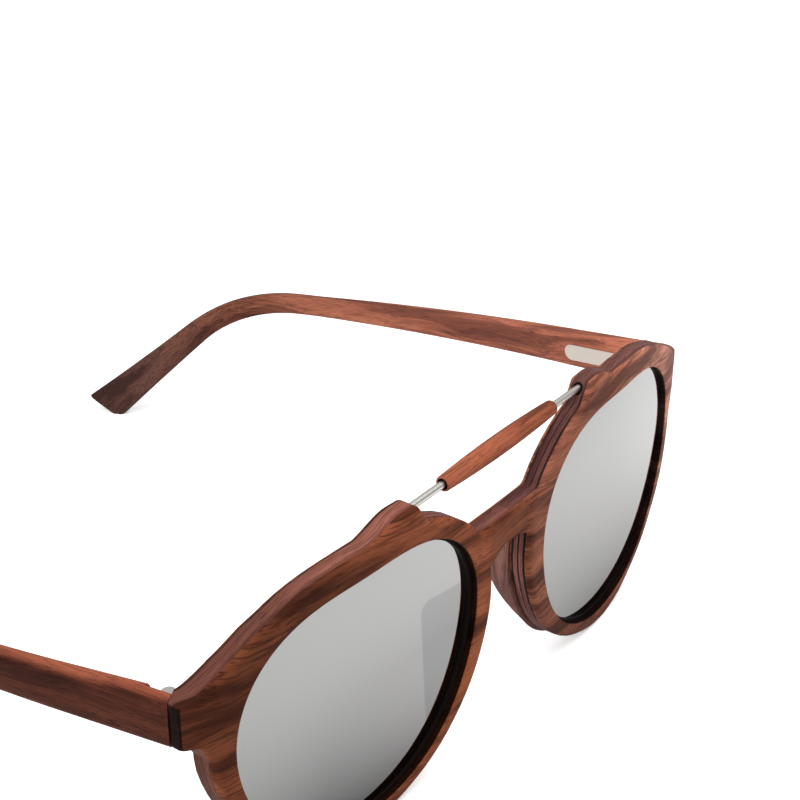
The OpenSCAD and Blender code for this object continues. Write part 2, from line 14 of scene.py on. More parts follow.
import bmesh
import bpy
import numpy as np
from mathutils import Matrix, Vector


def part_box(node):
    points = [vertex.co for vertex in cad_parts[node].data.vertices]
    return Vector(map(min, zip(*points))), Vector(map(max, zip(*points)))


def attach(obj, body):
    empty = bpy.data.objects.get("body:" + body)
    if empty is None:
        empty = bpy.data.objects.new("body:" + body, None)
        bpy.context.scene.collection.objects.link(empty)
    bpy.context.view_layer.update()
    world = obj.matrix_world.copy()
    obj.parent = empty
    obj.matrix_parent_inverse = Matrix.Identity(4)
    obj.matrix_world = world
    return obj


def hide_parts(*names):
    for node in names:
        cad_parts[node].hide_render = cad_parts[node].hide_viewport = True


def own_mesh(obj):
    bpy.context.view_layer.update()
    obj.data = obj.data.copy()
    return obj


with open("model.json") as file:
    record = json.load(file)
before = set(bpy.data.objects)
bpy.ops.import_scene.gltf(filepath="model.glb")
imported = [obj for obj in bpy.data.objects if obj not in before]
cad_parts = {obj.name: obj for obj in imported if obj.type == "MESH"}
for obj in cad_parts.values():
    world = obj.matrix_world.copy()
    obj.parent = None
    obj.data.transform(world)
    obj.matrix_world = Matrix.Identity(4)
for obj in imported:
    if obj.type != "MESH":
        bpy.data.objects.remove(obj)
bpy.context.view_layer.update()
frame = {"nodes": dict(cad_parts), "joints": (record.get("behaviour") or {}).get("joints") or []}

log = logging.getLogger("sunglasses")
MM = 0.001

# What a node's input takes: a number or an output to link, and a vector or colour or an output to link.
Value = Union[float, bpy.types.NodeSocket]
Triple = Union[Sequence[float], bpy.types.NodeSocket]


class Side(Enum):
    """The two sides of the wearer, with the sign of x on each."""

    LEFT = 1
    RIGHT = -1

    @property
    def word(self) -> str:
        """Returns: the ending of this side's node and body names."""
        return self.name.lower()

    @property
    def flip(self) -> np.ndarray:
        """Returns: the factors that take points of the left side to this side."""
        return np.array([self.value, 1.0, 1.0])


def fade(values: np.ndarray, zero: float, one: float) -> np.ndarray:
    """Returns: 0 where values reach zero and 1 where they reach one, straight between and clamped."""
    return np.clip((values - zero) / (one - zero), 0, 1)


def blend(part: np.ndarray, a: Sequence[float], b: Sequence[float]) -> np.ndarray:
    """Returns: colours a and b mixed by part, which runs from 0 to 1."""
    return np.asarray(a) * (1 - part[..., None]) + np.asarray(b) * part[..., None]


def build_mesh(name: str, verts: np.ndarray, faces: np.ndarray, sharp: float = 40.0,
               attributes: dict[str, np.ndarray] | None = None) -> bpy.types.Object:
    """Makes one mesh object from whole arrays.

    Args:
        name: name of the new object.
        verts: (n, 3) points in millimetres, in the row frame.
        faces: (m, 4) or (m, 3) vertex numbers.
        sharp: angle in degrees over which an edge is drawn sharp.
        attributes: per-vertex values, (n,) floats or (n, 3) vectors, by name.

    Returns:
        The linked object.
    """
    mesh = bpy.data.meshes.new(name)
    k = faces.shape[1]
    mesh.vertices.add(len(verts))
    mesh.vertices.foreach_set("co", (verts * MM).astype(np.float32).ravel())
    mesh.loops.add(faces.size)
    mesh.loops.foreach_set("vertex_index", faces.astype(np.int32).ravel())
    mesh.polygons.add(len(faces))
    mesh.polygons.foreach_set("loop_start", np.arange(0, faces.size, k, dtype=np.int32))
    mesh.update(calc_edges=True)
    for key, values in (attributes or {}).items():
        kind, field = ("FLOAT_VECTOR", "vector") if values.ndim == 2 else ("FLOAT", "value")
        layer = mesh.attributes.new(key, kind, "POINT")
        layer.data.foreach_set(field, values.astype(np.float32).ravel())
    edit = bmesh.new()
    edit.from_mesh(mesh)
    bmesh.ops.remove_doubles(edit, verts=edit.verts, dist=1e-7)
    bmesh.ops.recalc_face_normals(edit, faces=edit.faces)
    edit.to_mesh(mesh)
    edit.free()
    mesh.shade_smooth()
    mesh.set_sharp_from_angle(angle=math.radians(sharp))
    obj = bpy.data.objects.new(name, mesh)
    bpy.context.scene.collection.objects.link(obj)
    return obj


def grid_faces(nu: int, nv: int, close_u: bool, close_v: bool, start: int = 0) -> np.ndarray:
    """Quads of an nu by nv grid of points.

    Args:
        nu: rows of points.
        nv: points in each row.
        close_u: joins the last row to the first.
        close_v: joins the last point of each row to the first.
        start: number of the grid's first vertex.

    Returns:
        (m, 4) vertex numbers.
    """
    i = np.arange(nu if close_u else nu - 1)[:, None]
    j = np.arange(nv if close_v else nv - 1)[None, :]
    i2, j2 = (i + 1) % nu, (j + 1) % nv
    quad = np.stack([i * nv + j, i2 * nv + j, i2 * nv + j2, i * nv + j2], -1)
    return quad.reshape(-1, 4) + start


def build_grid(name: str, points: np.ndarray, close_u: bool, close_v: bool, sharp: float,
               attributes: dict[str, np.ndarray] | None = None) -> bpy.types.Object:
    """Makes one mesh object from a grid of points.

    Args:
        name: name of the new object.
        points: (n, m, 3) points in millimetres, in the row frame.
        close_u: joins the last row to the first.
        close_v: joins the last point of each row to the first.
        sharp: angle in degrees over which an edge is drawn sharp.
        attributes: (n, m) floats or (n, m, 3) vectors, by name.

    Returns:
        The linked object.
    """
    flat = {key: values.reshape(-1, *values.shape[2:]) for key, values in (attributes or {}).items()}
    faces = grid_faces(*points.shape[:2], close_u, close_v)
    return build_mesh(name, points.reshape(-1, 3), faces, sharp, flat)


def full_turn(steps: int) -> np.ndarray:
    """Returns: angles in radians, evenly round a full turn."""
    return np.linspace(0, 2 * math.pi, steps, endpoint=False)


def facing(right: np.ndarray, back: np.ndarray, place: Sequence[float]) -> Matrix:
    """Returns: the matrix of a light or camera at a place in metres, from where its x and z axes point."""
    columns = np.column_stack([right, np.cross(back, right), back, place])
    return Matrix(np.vstack([columns, [0, 0, 0, 1]]).tolist())


def soften(obj: bpy.types.Object, width: float, segments: int, angle: float) -> None:
    """Bevels the edges that turn by more than an angle.

    Args:
        obj: the piece.
        width: width of the bevel in millimetres.
        segments: faces across it.
        angle: least turn in degrees.
    """
    bevel = obj.modifiers.new("Soft edges", "BEVEL")
    bevel.width, bevel.segments = width * MM, segments
    bevel.limit_method, bevel.angle_limit = "ANGLE", math.radians(angle)


def node_arrays(node: str, merge: float = 0.01) -> tuple[np.ndarray, np.ndarray]:
    """Merged points and triangles of a CAD node.

    Args:
        node: name of the node.
        merge: points nearer than this are one point, in millimetres.

    Returns:
        (n, 3) points in millimetres and (m, 3) vertex numbers.
    """
    edit = bmesh.new()
    edit.from_mesh(frame["nodes"][node].data)
    bmesh.ops.remove_doubles(edit, verts=edit.verts, dist=merge * MM)
    bmesh.ops.triangulate(edit, faces=edit.faces)
    mesh = bpy.data.meshes.new("merged")
    edit.to_mesh(mesh)
    edit.free()
    co = np.zeros(len(mesh.vertices) * 3, np.float32)
    mesh.vertices.foreach_get("co", co)
    corner = np.zeros(len(mesh.loops), np.int32)
    mesh.loops.foreach_get("vertex_index", corner)
    bpy.data.meshes.remove(mesh)
    return co.reshape(-1, 3).astype(float) / MM, corner.reshape(-1, 3)


class Tree:
    """A short way of writing shader nodes."""

    def __init__(self, tree: bpy.types.NodeTree) -> None:
        """Args: tree: the node tree that is filled."""
        self.tree = tree

    def add(self, kind: str, sockets: dict[str | int, Value | Triple] | None = None,
            **props: object) -> bpy.types.Node:
        """Adds one node.

        Args:
            kind: Blender's name of the node type.
            sockets: input name or number to a value, or to an output socket to link.
            props: properties of the node.

        Returns:
            The node.
        """
        node = self.tree.nodes.new(kind)
        for key, value in props.items():
            setattr(node, key, value)
        for key, value in (sockets or {}).items():
            if isinstance(value, bpy.types.NodeSocket):
                self.tree.links.new(value, node.inputs[key])
            else:
                node.inputs[key].default_value = value
        return node

    def math(self, operation: str, a: Value, b: Value = 0.0, c: Value = 0.0) -> bpy.types.NodeSocket:
        """Returns: the result of one math node on values or sockets a, b and c."""
        return self.add("ShaderNodeMath", {0: a, 1: b, 2: c}, operation=operation).outputs[0]

    def vector(self, operation: str, a: Triple, b: Triple,
               c: Triple = (0.0, 0.0, 0.0)) -> bpy.types.NodeSocket:
        """Returns: the result of one vector math node on vectors or sockets a, b and c."""
        return self.add("ShaderNodeVectorMath", {0: a, 1: b, 2: c}, operation=operation).outputs[0]

    def length(self, a: Value, b: Value) -> bpy.types.NodeSocket:
        """Returns: the root of the sum of the squares of a and b."""
        return self.math("SQRT", self.math("ADD", self.math("MULTIPLY", a, a), self.math("MULTIPLY", b, b)))

    def noise(self, vector: Triple, detail: float, rough: float,
              distort: float = 0.0) -> bpy.types.NodeSocket:
        """Returns: one noise value at a vector."""
        return self.add("ShaderNodeTexNoise", {"Vector": vector, "Scale": 1.0, "Detail": detail,
                                               "Roughness": rough, "Distortion": distort}).outputs[0]

    def attribute(self, name: str, output: str = "Vector") -> bpy.types.NodeSocket:
        """Returns: one attribute of the mesh."""
        return self.add("ShaderNodeAttribute", attribute_name=name).outputs[output]

    def surface(self, sockets: dict[str | int, Value | Triple]) -> None:
        """Args: sockets: inputs of the Principled shader that ends the material."""
        shader = self.add("ShaderNodeBsdfPrincipled", sockets)
        self.add("ShaderNodeOutputMaterial", {0: shader.outputs[0]})

    def ramp(self, value: Value, low: float, high: float) -> bpy.types.NodeSocket:
        """Returns: value taken from low..high to 0..1, smoothly and clamped."""
        node = self.add("ShaderNodeMapRange", {"Value": value, "From Min": low, "From Max": high},
                        interpolation_type="SMOOTHSTEP")
        return node.outputs[0]

    def mix(self, factor: Value, a: Triple, b: Triple) -> bpy.types.NodeSocket:
        """Returns: colours a and b mixed by factor."""
        node = self.add("ShaderNodeMix", {0: factor, 6: a, 7: b}, data_type="RGBA")
        return node.outputs[2]


def new_material(name: str) -> tuple[bpy.types.Material, Tree]:
    """Returns: a new material with an empty node tree, and that tree."""
    mat = bpy.data.materials.new(name)
    mat.use_nodes = True
    mat.node_tree.nodes.clear()
    return mat, Tree(mat.node_tree)


class Group:
    """An empty shader node group with its sockets, ready to be filled."""

    def __init__(self, name: str, inputs: dict[str, str], outputs: dict[str, str]) -> None:
        """Makes the group, its sockets and its two end nodes.

        Args:
            name: name of the group.
            inputs: names of the inputs, each to Vector, Color or Float.
            outputs: the same for the outputs.
        """
        self.group = bpy.data.node_groups.new(name, "ShaderNodeTree")
        for way, sockets in (("INPUT", inputs), ("OUTPUT", outputs)):
            for label, kind in sockets.items():
                self.group.interface.new_socket(label, in_out=way, socket_type=f"NodeSocket{kind}")
        self.tree = Tree(self.group)
        self.given = self.tree.add("NodeGroupInput").outputs
        self.out = self.tree.add("NodeGroupOutput").inputs

    def close(self, **results: bpy.types.NodeSocket) -> bpy.types.NodeTree:
        """Args: results: sockets by output name. Returns: the group with these results linked."""
        for label, socket in results.items():
            self.group.links.new(socket, self.out[label])
        return self.group


def wood_group() -> bpy.types.NodeTree:
    """Shared grain: streaks, dark veins and pores from grain coordinates in millimetres.

    Each is noise drawn out along the grain; the coordinates are first pushed aside by slow noise.

    Returns:
        A node group with Vector, Light, Mid, Dark and Veins inputs, and Color, Rough and Height outputs.
    """
    made = Group("Wood grain", {"Vector": "Vector", "Light": "Color", "Mid": "Color", "Dark": "Color",
                                "Veins": "Float"}, {"Color": "Color", "Rough": "Float", "Height": "Float"})
    t, given = made.tree, made.given
    slow = t.vector("MULTIPLY", given["Vector"], (0.035, 0.06, 0.06))
    bend = t.add("ShaderNodeTexNoise", {"Vector": slow, "Scale": 1.0, "Detail": 2.0}).outputs[1]
    bend = t.vector("SUBTRACT", bend, (0.5, 0.5, 0.5))
    wave = t.vector("MULTIPLY_ADD", bend, (2.0, 7.0, 5.0), given["Vector"])

    def noise(scale: tuple[float, float, float], detail: float, rough: float,
              distort: float = 0.0) -> bpy.types.NodeSocket:
        """Returns: noise drawn out along the grain."""
        return t.noise(t.vector("MULTIPLY", wave, scale), detail, rough, distort)

    broad = noise((0.022, 0.24, 0.24), 3.0, 0.5)
    streak = noise((0.03, 2.2, 2.2), 4.0, 0.6)
    crowd = noise((0.03, 0.2, 0.2), 2.0, 0.5)
    vein = noise((0.04, 0.8, 0.8), 2.0, 0.45, 0.25)
    fine = noise((0.07, 4.5, 4.5), 2.0, 0.6)
    pore = noise((0.26, 4.6, 4.6), 1.0, 0.5)
    tone = t.math("ADD", t.math("MULTIPLY", broad, 0.82), t.math("MULTIPLY", streak, 0.18))
    band = t.math("MULTIPLY", t.ramp(broad, 0.52, 0.62), given["Veins"])
    line = t.math("ABSOLUTE", t.math("SUBTRACT", vein, 0.5))
    line = t.math("SUBTRACT", 1.0, t.ramp(line, 0.01, 0.09))
    line = t.math("MULTIPLY", line, t.ramp(crowd, 0.4, 0.58))
    line = t.math("MULTIPLY", line, given["Veins"])
    speck = t.math("MULTIPLY", t.ramp(pore, 0.6, 0.65), 0.55)
    color = t.mix(t.ramp(tone, 0.38, 0.6), given["Light"], given["Mid"])
    for mark in (t.math("MULTIPLY", band, 0.6), t.math("MULTIPLY", line, 0.6),
                 t.math("MULTIPLY", t.ramp(fine, 0.52, 0.7), 0.4), speck):
        color = t.mix(mark, color, given["Dark"])
    pits = t.math("ADD", speck, t.math("MULTIPLY", line, 0.5))
    return made.close(Color=color, Rough=t.math("MULTIPLY_ADD", tone, 0.18, 0.4),
                      Height=t.math("SUBTRACT", t.math("MULTIPLY", streak, 0.5), pits))


def rod_line() -> tuple[float, float, float]:
    """Returns: y and z of the brow rod's axis and half its length, in metres."""
    low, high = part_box("brow_rod")
    return (low[1] + high[1]) / 2, (low[2] + high[2]) / 2, (high[0] - low[0]) / 2


def mouth_shade_group() -> bpy.types.NodeTree:
    """Shared painted shade round the ends of the brow rod: the dark of the holes that the rod goes into,
    painted on the wood.

    The mask is 1 where the distance to the rod's axis is under the mouth's radius, and 0 past the rod's ends.

    Returns:
        A node group with a Vector input in metres and a Mask output.
    """
    made = Group("Rod mouth shade", {"Vector": "Vector"}, {"Mask": "Float"})
    t = made.tree
    y, z, half = rod_line()
    part = t.add("ShaderNodeSeparateXYZ", {0: made.given["Vector"]}).outputs
    off = t.length(t.math("SUBTRACT", part[1], y), t.math("SUBTRACT", part[2], z))
    near = t.math("SUBTRACT", 1.0, t.ramp(off, 0.85 * MM, 1.05 * MM))
    within = t.math("LESS_THAN", t.math("ABSOLUTE", part[0]), half)
    return made.close(Mask=t.math("MULTIPLY", near, within))


# Depth behind the face, half width and darkness of each layer on the laminate's edge.
DARK_LAYERS = ((1.38, 0.22, 1.0), (1.9, 0.07, 0.4), (2.5, 0.16, 0.9), (3.0, 0.07, 0.4), (3.6, 0.2, 0.9))


def stripe_group() -> bpy.types.NodeTree:
    """Shared edge of the laminate: ragged dark layers across its thickness.

    The place of each layer is its depth behind the face, pushed to and fro by noise along the edge.

    Returns:
        A node group with a Vector input (length along the edge, depth, strength) and a Mask output.
    """
    made = Group("Laminate edge", {"Vector": "Vector"}, {"Mask": "Float"})
    t = made.tree
    part = t.add("ShaderNodeSeparateXYZ", {0: made.given["Vector"]}).outputs
    place = t.add("ShaderNodeCombineXYZ", {0: part[0], 1: part[1], 2: 0.0}).outputs[0]
    push = t.noise(t.vector("MULTIPLY", place, (0.55, 1.6, 1.0)), 4.0, 0.65)
    depth = t.math("MULTIPLY_ADD", t.math("SUBTRACT", push, 0.5), 0.35, part[1])
    mask = 0.0
    for middle, half, strength in DARK_LAYERS:
        off = t.math("ABSOLUTE", t.math("SUBTRACT", depth, middle))
        layer = t.math("SUBTRACT", 1.0, t.ramp(off, half * 0.6, half * 1.4))
        mask = t.math("MAXIMUM", mask, t.math("MULTIPLY", layer, strength))
    return made.close(Mask=t.math("MULTIPLY", mask, part[2]))


@dataclass(frozen=True)
class WoodFinish:
    """One oiled wood.

    The colours are linear; veins is the strength of the dark lines.
    """

    LAYER: ClassVar[tuple[float, ...]] = (0.018, 0.012, 0.011, 1.0)
    # Colour of the painted shade in the holes round the brow rod's ends.
    HOLE: ClassVar[tuple[float, ...]] = (0.004, 0.003, 0.003, 1.0)

    name: str
    slot: str
    light: tuple[float, float, float]
    mid: tuple[float, float, float]
    dark: tuple[float, float, float]
    veins: float = 1.0
    laminated: bool = False

    def material(self, grain: bpy.types.NodeTree, stripes: bpy.types.NodeTree,
                 mouth: bpy.types.NodeTree) -> bpy.types.Material:
        """Makes the material.

        Args:
            grain: the shared grain.
            stripes: the shared edge of the laminate.
            mouth: the shared painted shade round the ends of the brow rod.

        Returns:
            The material, whose colour is multiplied by the shade attribute.
        """
        mat, t = new_material(self.name)
        wood = t.add("ShaderNodeGroup", {
            "Vector": t.attribute("grain"), "Light": (*self.light, 1.0), "Mid": (*self.mid, 1.0),
            "Dark": (*self.dark, 1.0), "Veins": self.veins}, node_tree=grain).outputs
        color = wood["Color"]
        if self.laminated:
            where = t.add("ShaderNodeTexCoord").outputs["Object"]
            # The laminate's dark layers, then the painted shade of the holes round the rod.
            layers, hole_shade = (stripes, t.attribute("ply"), self.LAYER), (mouth, where, self.HOLE)
            for effect, vector, dark in (layers, hole_shade):
                mask = t.add("ShaderNodeGroup", {"Vector": vector}, node_tree=effect).outputs["Mask"]
                color = t.mix(mask, color, dark)
        bump = t.add("ShaderNodeBump", {"Height": wood["Height"], "Strength": 0.12, "Distance": 0.2 * MM})
        color = t.vector("MULTIPLY", color, t.attribute("shade"))
        t.surface({"Base Color": color, "Roughness": wood["Rough"], "Normal": bump.outputs[0],
                   "Specular IOR Level": 0.03})
        return mat


@dataclass(frozen=True)
class PlainFinish:
    """One plain finish, such as metal or plastic."""

    name: str
    slot: str
    color: tuple[float, float, float]
    rough: float
    metal: float = 0.0
    gloss: float = 0.5
    shaded: bool = False

    def material(self) -> bpy.types.Material:
        """Returns: the finished material, whose colour follows the shade attribute where shaded is set."""
        mat, t = new_material(self.name)
        color = (*self.color, 1.0)
        if self.shaded:
            shade = t.attribute("shade", "Fac")
            node = t.add("ShaderNodeVectorMath", {0: self.color, "Scale": shade}, operation="SCALE")
            color = node.outputs[0]
        t.surface({"Base Color": color, "Roughness": self.rough, "Metallic": self.metal,
                   "Specular IOR Level": self.gloss})
        return mat


class Finishes:
    """Every material of the part, by its slot in the record."""

    WOODS = (
        WoodFinish("Face veneer", "face_wood", (0.36, 0.125, 0.062), (0.22, 0.07, 0.036),
                   (0.045, 0.016, 0.011), 1.0, True),
        WoodFinish("Dark ply", "dark_wood", (0.4, 0.16, 0.125), (0.27, 0.105, 0.085),
                   (0.05, 0.022, 0.02), 0.5, True),
        WoodFinish("Core ply", "core_wood", (0.42, 0.168, 0.13), (0.28, 0.11, 0.088),
                   (0.05, 0.022, 0.02), 0.5, True),
        WoodFinish("Pad wood", "pad_wood", (0.38, 0.175, 0.14), (0.26, 0.112, 0.09),
                   (0.05, 0.022, 0.02), 0.6),
        WoodFinish("Temple wood", "temple_wood", (0.34, 0.115, 0.064), (0.2, 0.063, 0.037),
                   (0.045, 0.017, 0.014), 0.8),
        WoodFinish("Sleeve wood", "sleeve_wood", (0.39, 0.117, 0.06), (0.24, 0.068, 0.036),
                   (0.06, 0.02, 0.012), 0.7),
    )
    PLAINS = (
        PlainFinish("Liner black", "black_liner", (0.008, 0.005, 0.004), 0.5, 0.0, 0.03),
        PlainFinish("Lens mirror", "mirror_lens", (0.53, 0.53, 0.525), 0.02, 1.0, 0.5, True),
        PlainFinish("Lens back", "mirror_lens", (0.03, 0.031, 0.032), 0.08),
        PlainFinish("Rod steel", "rod_steel", (0.72, 0.7, 0.66), 0.3, 1.0),
        PlainFinish("Hinge steel", "hinge_steel", (0.74, 0.66, 0.58), 0.32, 1.0),
        PlainFinish("Screw steel", "screw_steel", (0.7, 0.68, 0.65), 0.3, 1.0),
        PlainFinish("Spring steel", "spring_steel", (0.6, 0.6, 0.6), 0.35, 1.0),
    )

    def __init__(self) -> None:
        """Builds every material."""
        grain, stripes, mouth = wood_group(), stripe_group(), mouth_shade_group()
        self.made = {w.name: (w.slot, w.material(grain, stripes, mouth)) for w in self.WOODS}
        self.made.update({p.name: (p.slot, p.material()) for p in self.PLAINS})

    def dress(self, obj: bpy.types.Object, finish: str, node: str, body: str) -> bpy.types.Object:
        """Gives a piece its finish, the node that it replaces and the body that it rides on.

        Args:
            obj: the piece.
            finish: name of the finish.
            node: name of the CAD node.
            body: name of the body.

        Returns:
            The piece.
        """
        slot, mat = self.made[finish]
        obj.data.materials.clear()
        obj.data.materials.append(mat)
        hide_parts(node)
        log.info("%s: %s, on %s", obj.name, finish, body)
        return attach(obj, body)


@dataclass(frozen=True)
class FrontSizes:
    """Sizes of the front in millimetres and degrees, the main ones as in the CAD source."""

    lens_w: float = 50.0
    lens_h: float = 44.0
    lens_gap: float = 19.6
    panto: float = 0.9
    lens_lean: float = 0.55
    lens_tuck: float = 1.5
    lens_square: float = 0.6
    lens_t: float = 1.4
    liner_t: float = 0.55
    liner_in: float = 0.2
    groove_d: float = 0.3
    bow_r: float = 323.0
    lens_bow_r: float = 380.0
    lens_nose_depth: float = 1.78
    wrap_in: float = 1.8
    wrap_r: float = 26.0
    tilt: float = 6.7
    plies: tuple[float, ...] = (1.2, 0.45, 1.8, 0.35, 0.75)
    rim_bottom: float = 2.6
    rim_draw: float = 0.45
    bridge_scoop: float = 0.6
    scoop_r: float = 24.0
    pad_t: float = 5.0
    pad_out: float = 0.7
    pad_w: float = 3.2
    pad_round: float = 16.0
    pad_drop: float = 2.0
    pad_from: float = 150.0
    pad_to: float = 240.0
    pad_top: float = 8.6
    pad_thin: float = 0.5
    pad_skin: float = 0.06
    pad_sink: float = 0.3
    rod_d: float = 1.2
    sleeve_l: float = 30.0
    sleeve_d: float = 3.3
    sleeve_end_d: float = 2.5
    sleeve_cup: float = 1.35
    temple_reach: float = 4.0
    temple_t: float = 3.6
    hinge_rise: float = 10.7
    knuckle_d: float = 3.0
    knuckle_gap: float = 0.45
    axis_in: float = 0.4
    end_in: float = 0.5
    mitre: float = 25.0
    leaf_w: float = 4.6
    leaf_h: float = 5.4
    leaf_in: float = 2.1
    edge_r: float = 0.95
    end_edge_r: float = 0.45
    lip_r: float = 0.18


class FrontFrame:
    """The front's own upright frame, its bow, its outlines and its place on the table."""

    def __init__(self, sizes: FrontSizes) -> None:
        """Works out where everything on the front lies.

        The bow turns into the tighter wrap where both have the same tangent. The front leans back by
        its tilt until the core ply rests on the table below the lens centres, and the hinge axis stands
        behind the rear face by half a knuckle and a gap.

        Args:
            sizes: the sizes of the front.
        """
        self.z = s = sizes
        self.lens_x = (s.lens_w + s.lens_gap) / 2
        self.thick = sum(s.plies)
        self.depths = np.concatenate([[0.0], np.cumsum(s.plies)])
        self.wrap_x = self.lens_x + s.lens_w / 2 - s.wrap_in
        turn = math.asin(self.wrap_x / s.bow_r)
        self.wrap_sin = math.sin(turn)
        self.wrap_c = ((s.bow_r - s.wrap_r) * math.sin(turn), s.bow_r - (s.bow_r - s.wrap_r) * math.cos(turn))
        self.tilt = math.radians(s.tilt)
        self.temple_in = self.lens_x + s.lens_w / 2 + s.temple_reach
        self.axis_x = self.temple_in - s.axis_in
        self.end_x = self.temple_in + s.temple_t - s.end_in
        self.butt_y = float(self.bow(self.temple_in, self.thick))
        low = float(self.lens_r(np.array(1.5 * math.pi))) + s.rim_bottom
        rest = float(self.bow(self.lens_x, self.depths[2]))
        self.lens_z = low * math.cos(self.tilt) - rest * math.sin(self.tilt)
        rear = float(self.bow(self.axis_x, self.thick))
        self.axis_y = (rear * math.cos(self.tilt) - s.hinge_rise * math.sin(self.tilt)
                       + s.knuckle_d / 2 + s.knuckle_gap)
        self.axis_z = self.lens_z + rear * math.sin(self.tilt) + s.hinge_rise * math.cos(self.tilt)
        fold = next(j for j in frame["joints"] if j["name"] == "fold_left")
        self.mid_y = self.axis_y - fold["pos_m"][1] / MM
        log.info("front frame: lens centres %.3f mm up, hinges at %.3f, %.3f, %.3f mm", self.lens_z,
                 self.axis_x, self.axis_y - self.mid_y, self.axis_z)

    def lens_r(self, a: np.ndarray) -> np.ndarray:
        """Radius of the lens opening.

        It is the mean radius plus waves of two, three and four to the turn, which make it wider, fuller
        above and squarer, less a bump that tucks in the lower outer corner.

        Args:
            a: angles in radians.

        Returns:
            The radius at each angle.
        """
        s = self.z
        mean = (s.lens_w + s.lens_h) / 4 + s.lens_square
        return (mean + (s.lens_w - s.lens_h) / 4 * np.cos(2 * a) - s.lens_lean * np.sin(2 * a)
                + s.panto * np.sin(3 * a) - s.lens_square * np.cos(4 * a)
                - s.lens_tuck * np.maximum(np.cos(a - math.radians(320)), 0) ** 4)

    def lens_xz(self, a: np.ndarray, grow: float | np.ndarray = 0.0) -> np.ndarray:
        """Args: a: angles; grow: offset of the outline. Returns: (..., 2) points of the lens outline."""
        r = self.lens_r(a) + grow
        return np.stack([self.lens_x + r * np.cos(a), r * np.sin(a)], -1)

    def bow(self, x: np.ndarray | float, depth: np.ndarray | float) -> np.ndarray:
        """Bends a layer.

        Each layer is an arc about the centre of the bow, and past the wrap an arc about the centre of
        the wrap, with a radius that is smaller by the depth.

        Args:
            x: places across.
            depth: depths behind the face.

        Returns:
            y of the bent layer.
        """
        s = self.z
        x, depth = np.broadcast_arrays(np.abs(np.asarray(x, float)), np.asarray(depth, float))
        plain = s.bow_r - np.sqrt((s.bow_r - depth) ** 2 - x * x)
        inside = np.maximum((s.wrap_r - depth) ** 2 - (x - self.wrap_c[0]) ** 2, 0.0)
        wrap = self.wrap_c[1] - np.sqrt(inside)
        return np.where(x < self.wrap_x - depth * self.wrap_sin, plain, wrap)

    def lens_bow(self, x: np.ndarray, depth: float) -> np.ndarray:
        """Args: x: places across; depth: behind the face at x = 0. Returns: y on the lenses' flatter bow."""
        r = self.z.lens_bow_r
        return r - np.sqrt((r - depth) ** 2 - x * x)

    def place(self, x: np.ndarray, y: np.ndarray, z: np.ndarray) -> np.ndarray:
        """Args: x, y, z: points of the front frame. Returns: (..., 3) points on the table."""
        c, s = math.cos(self.tilt), math.sin(self.tilt)
        return np.stack(np.broadcast_arrays(x, y * c - z * s - self.mid_y, self.lens_z + y * s + z * c), -1)

    def unplace(self, points: np.ndarray) -> np.ndarray:
        """Args: points: (n, 3) points on the table. Returns: the same points in the front frame."""
        c, s = math.cos(self.tilt), math.sin(self.tilt)
        y, z = points[:, 1] + self.mid_y, points[:, 2] - self.lens_z
        return np.stack([points[:, 0], y * c + z * s, z * c - y * s], -1)


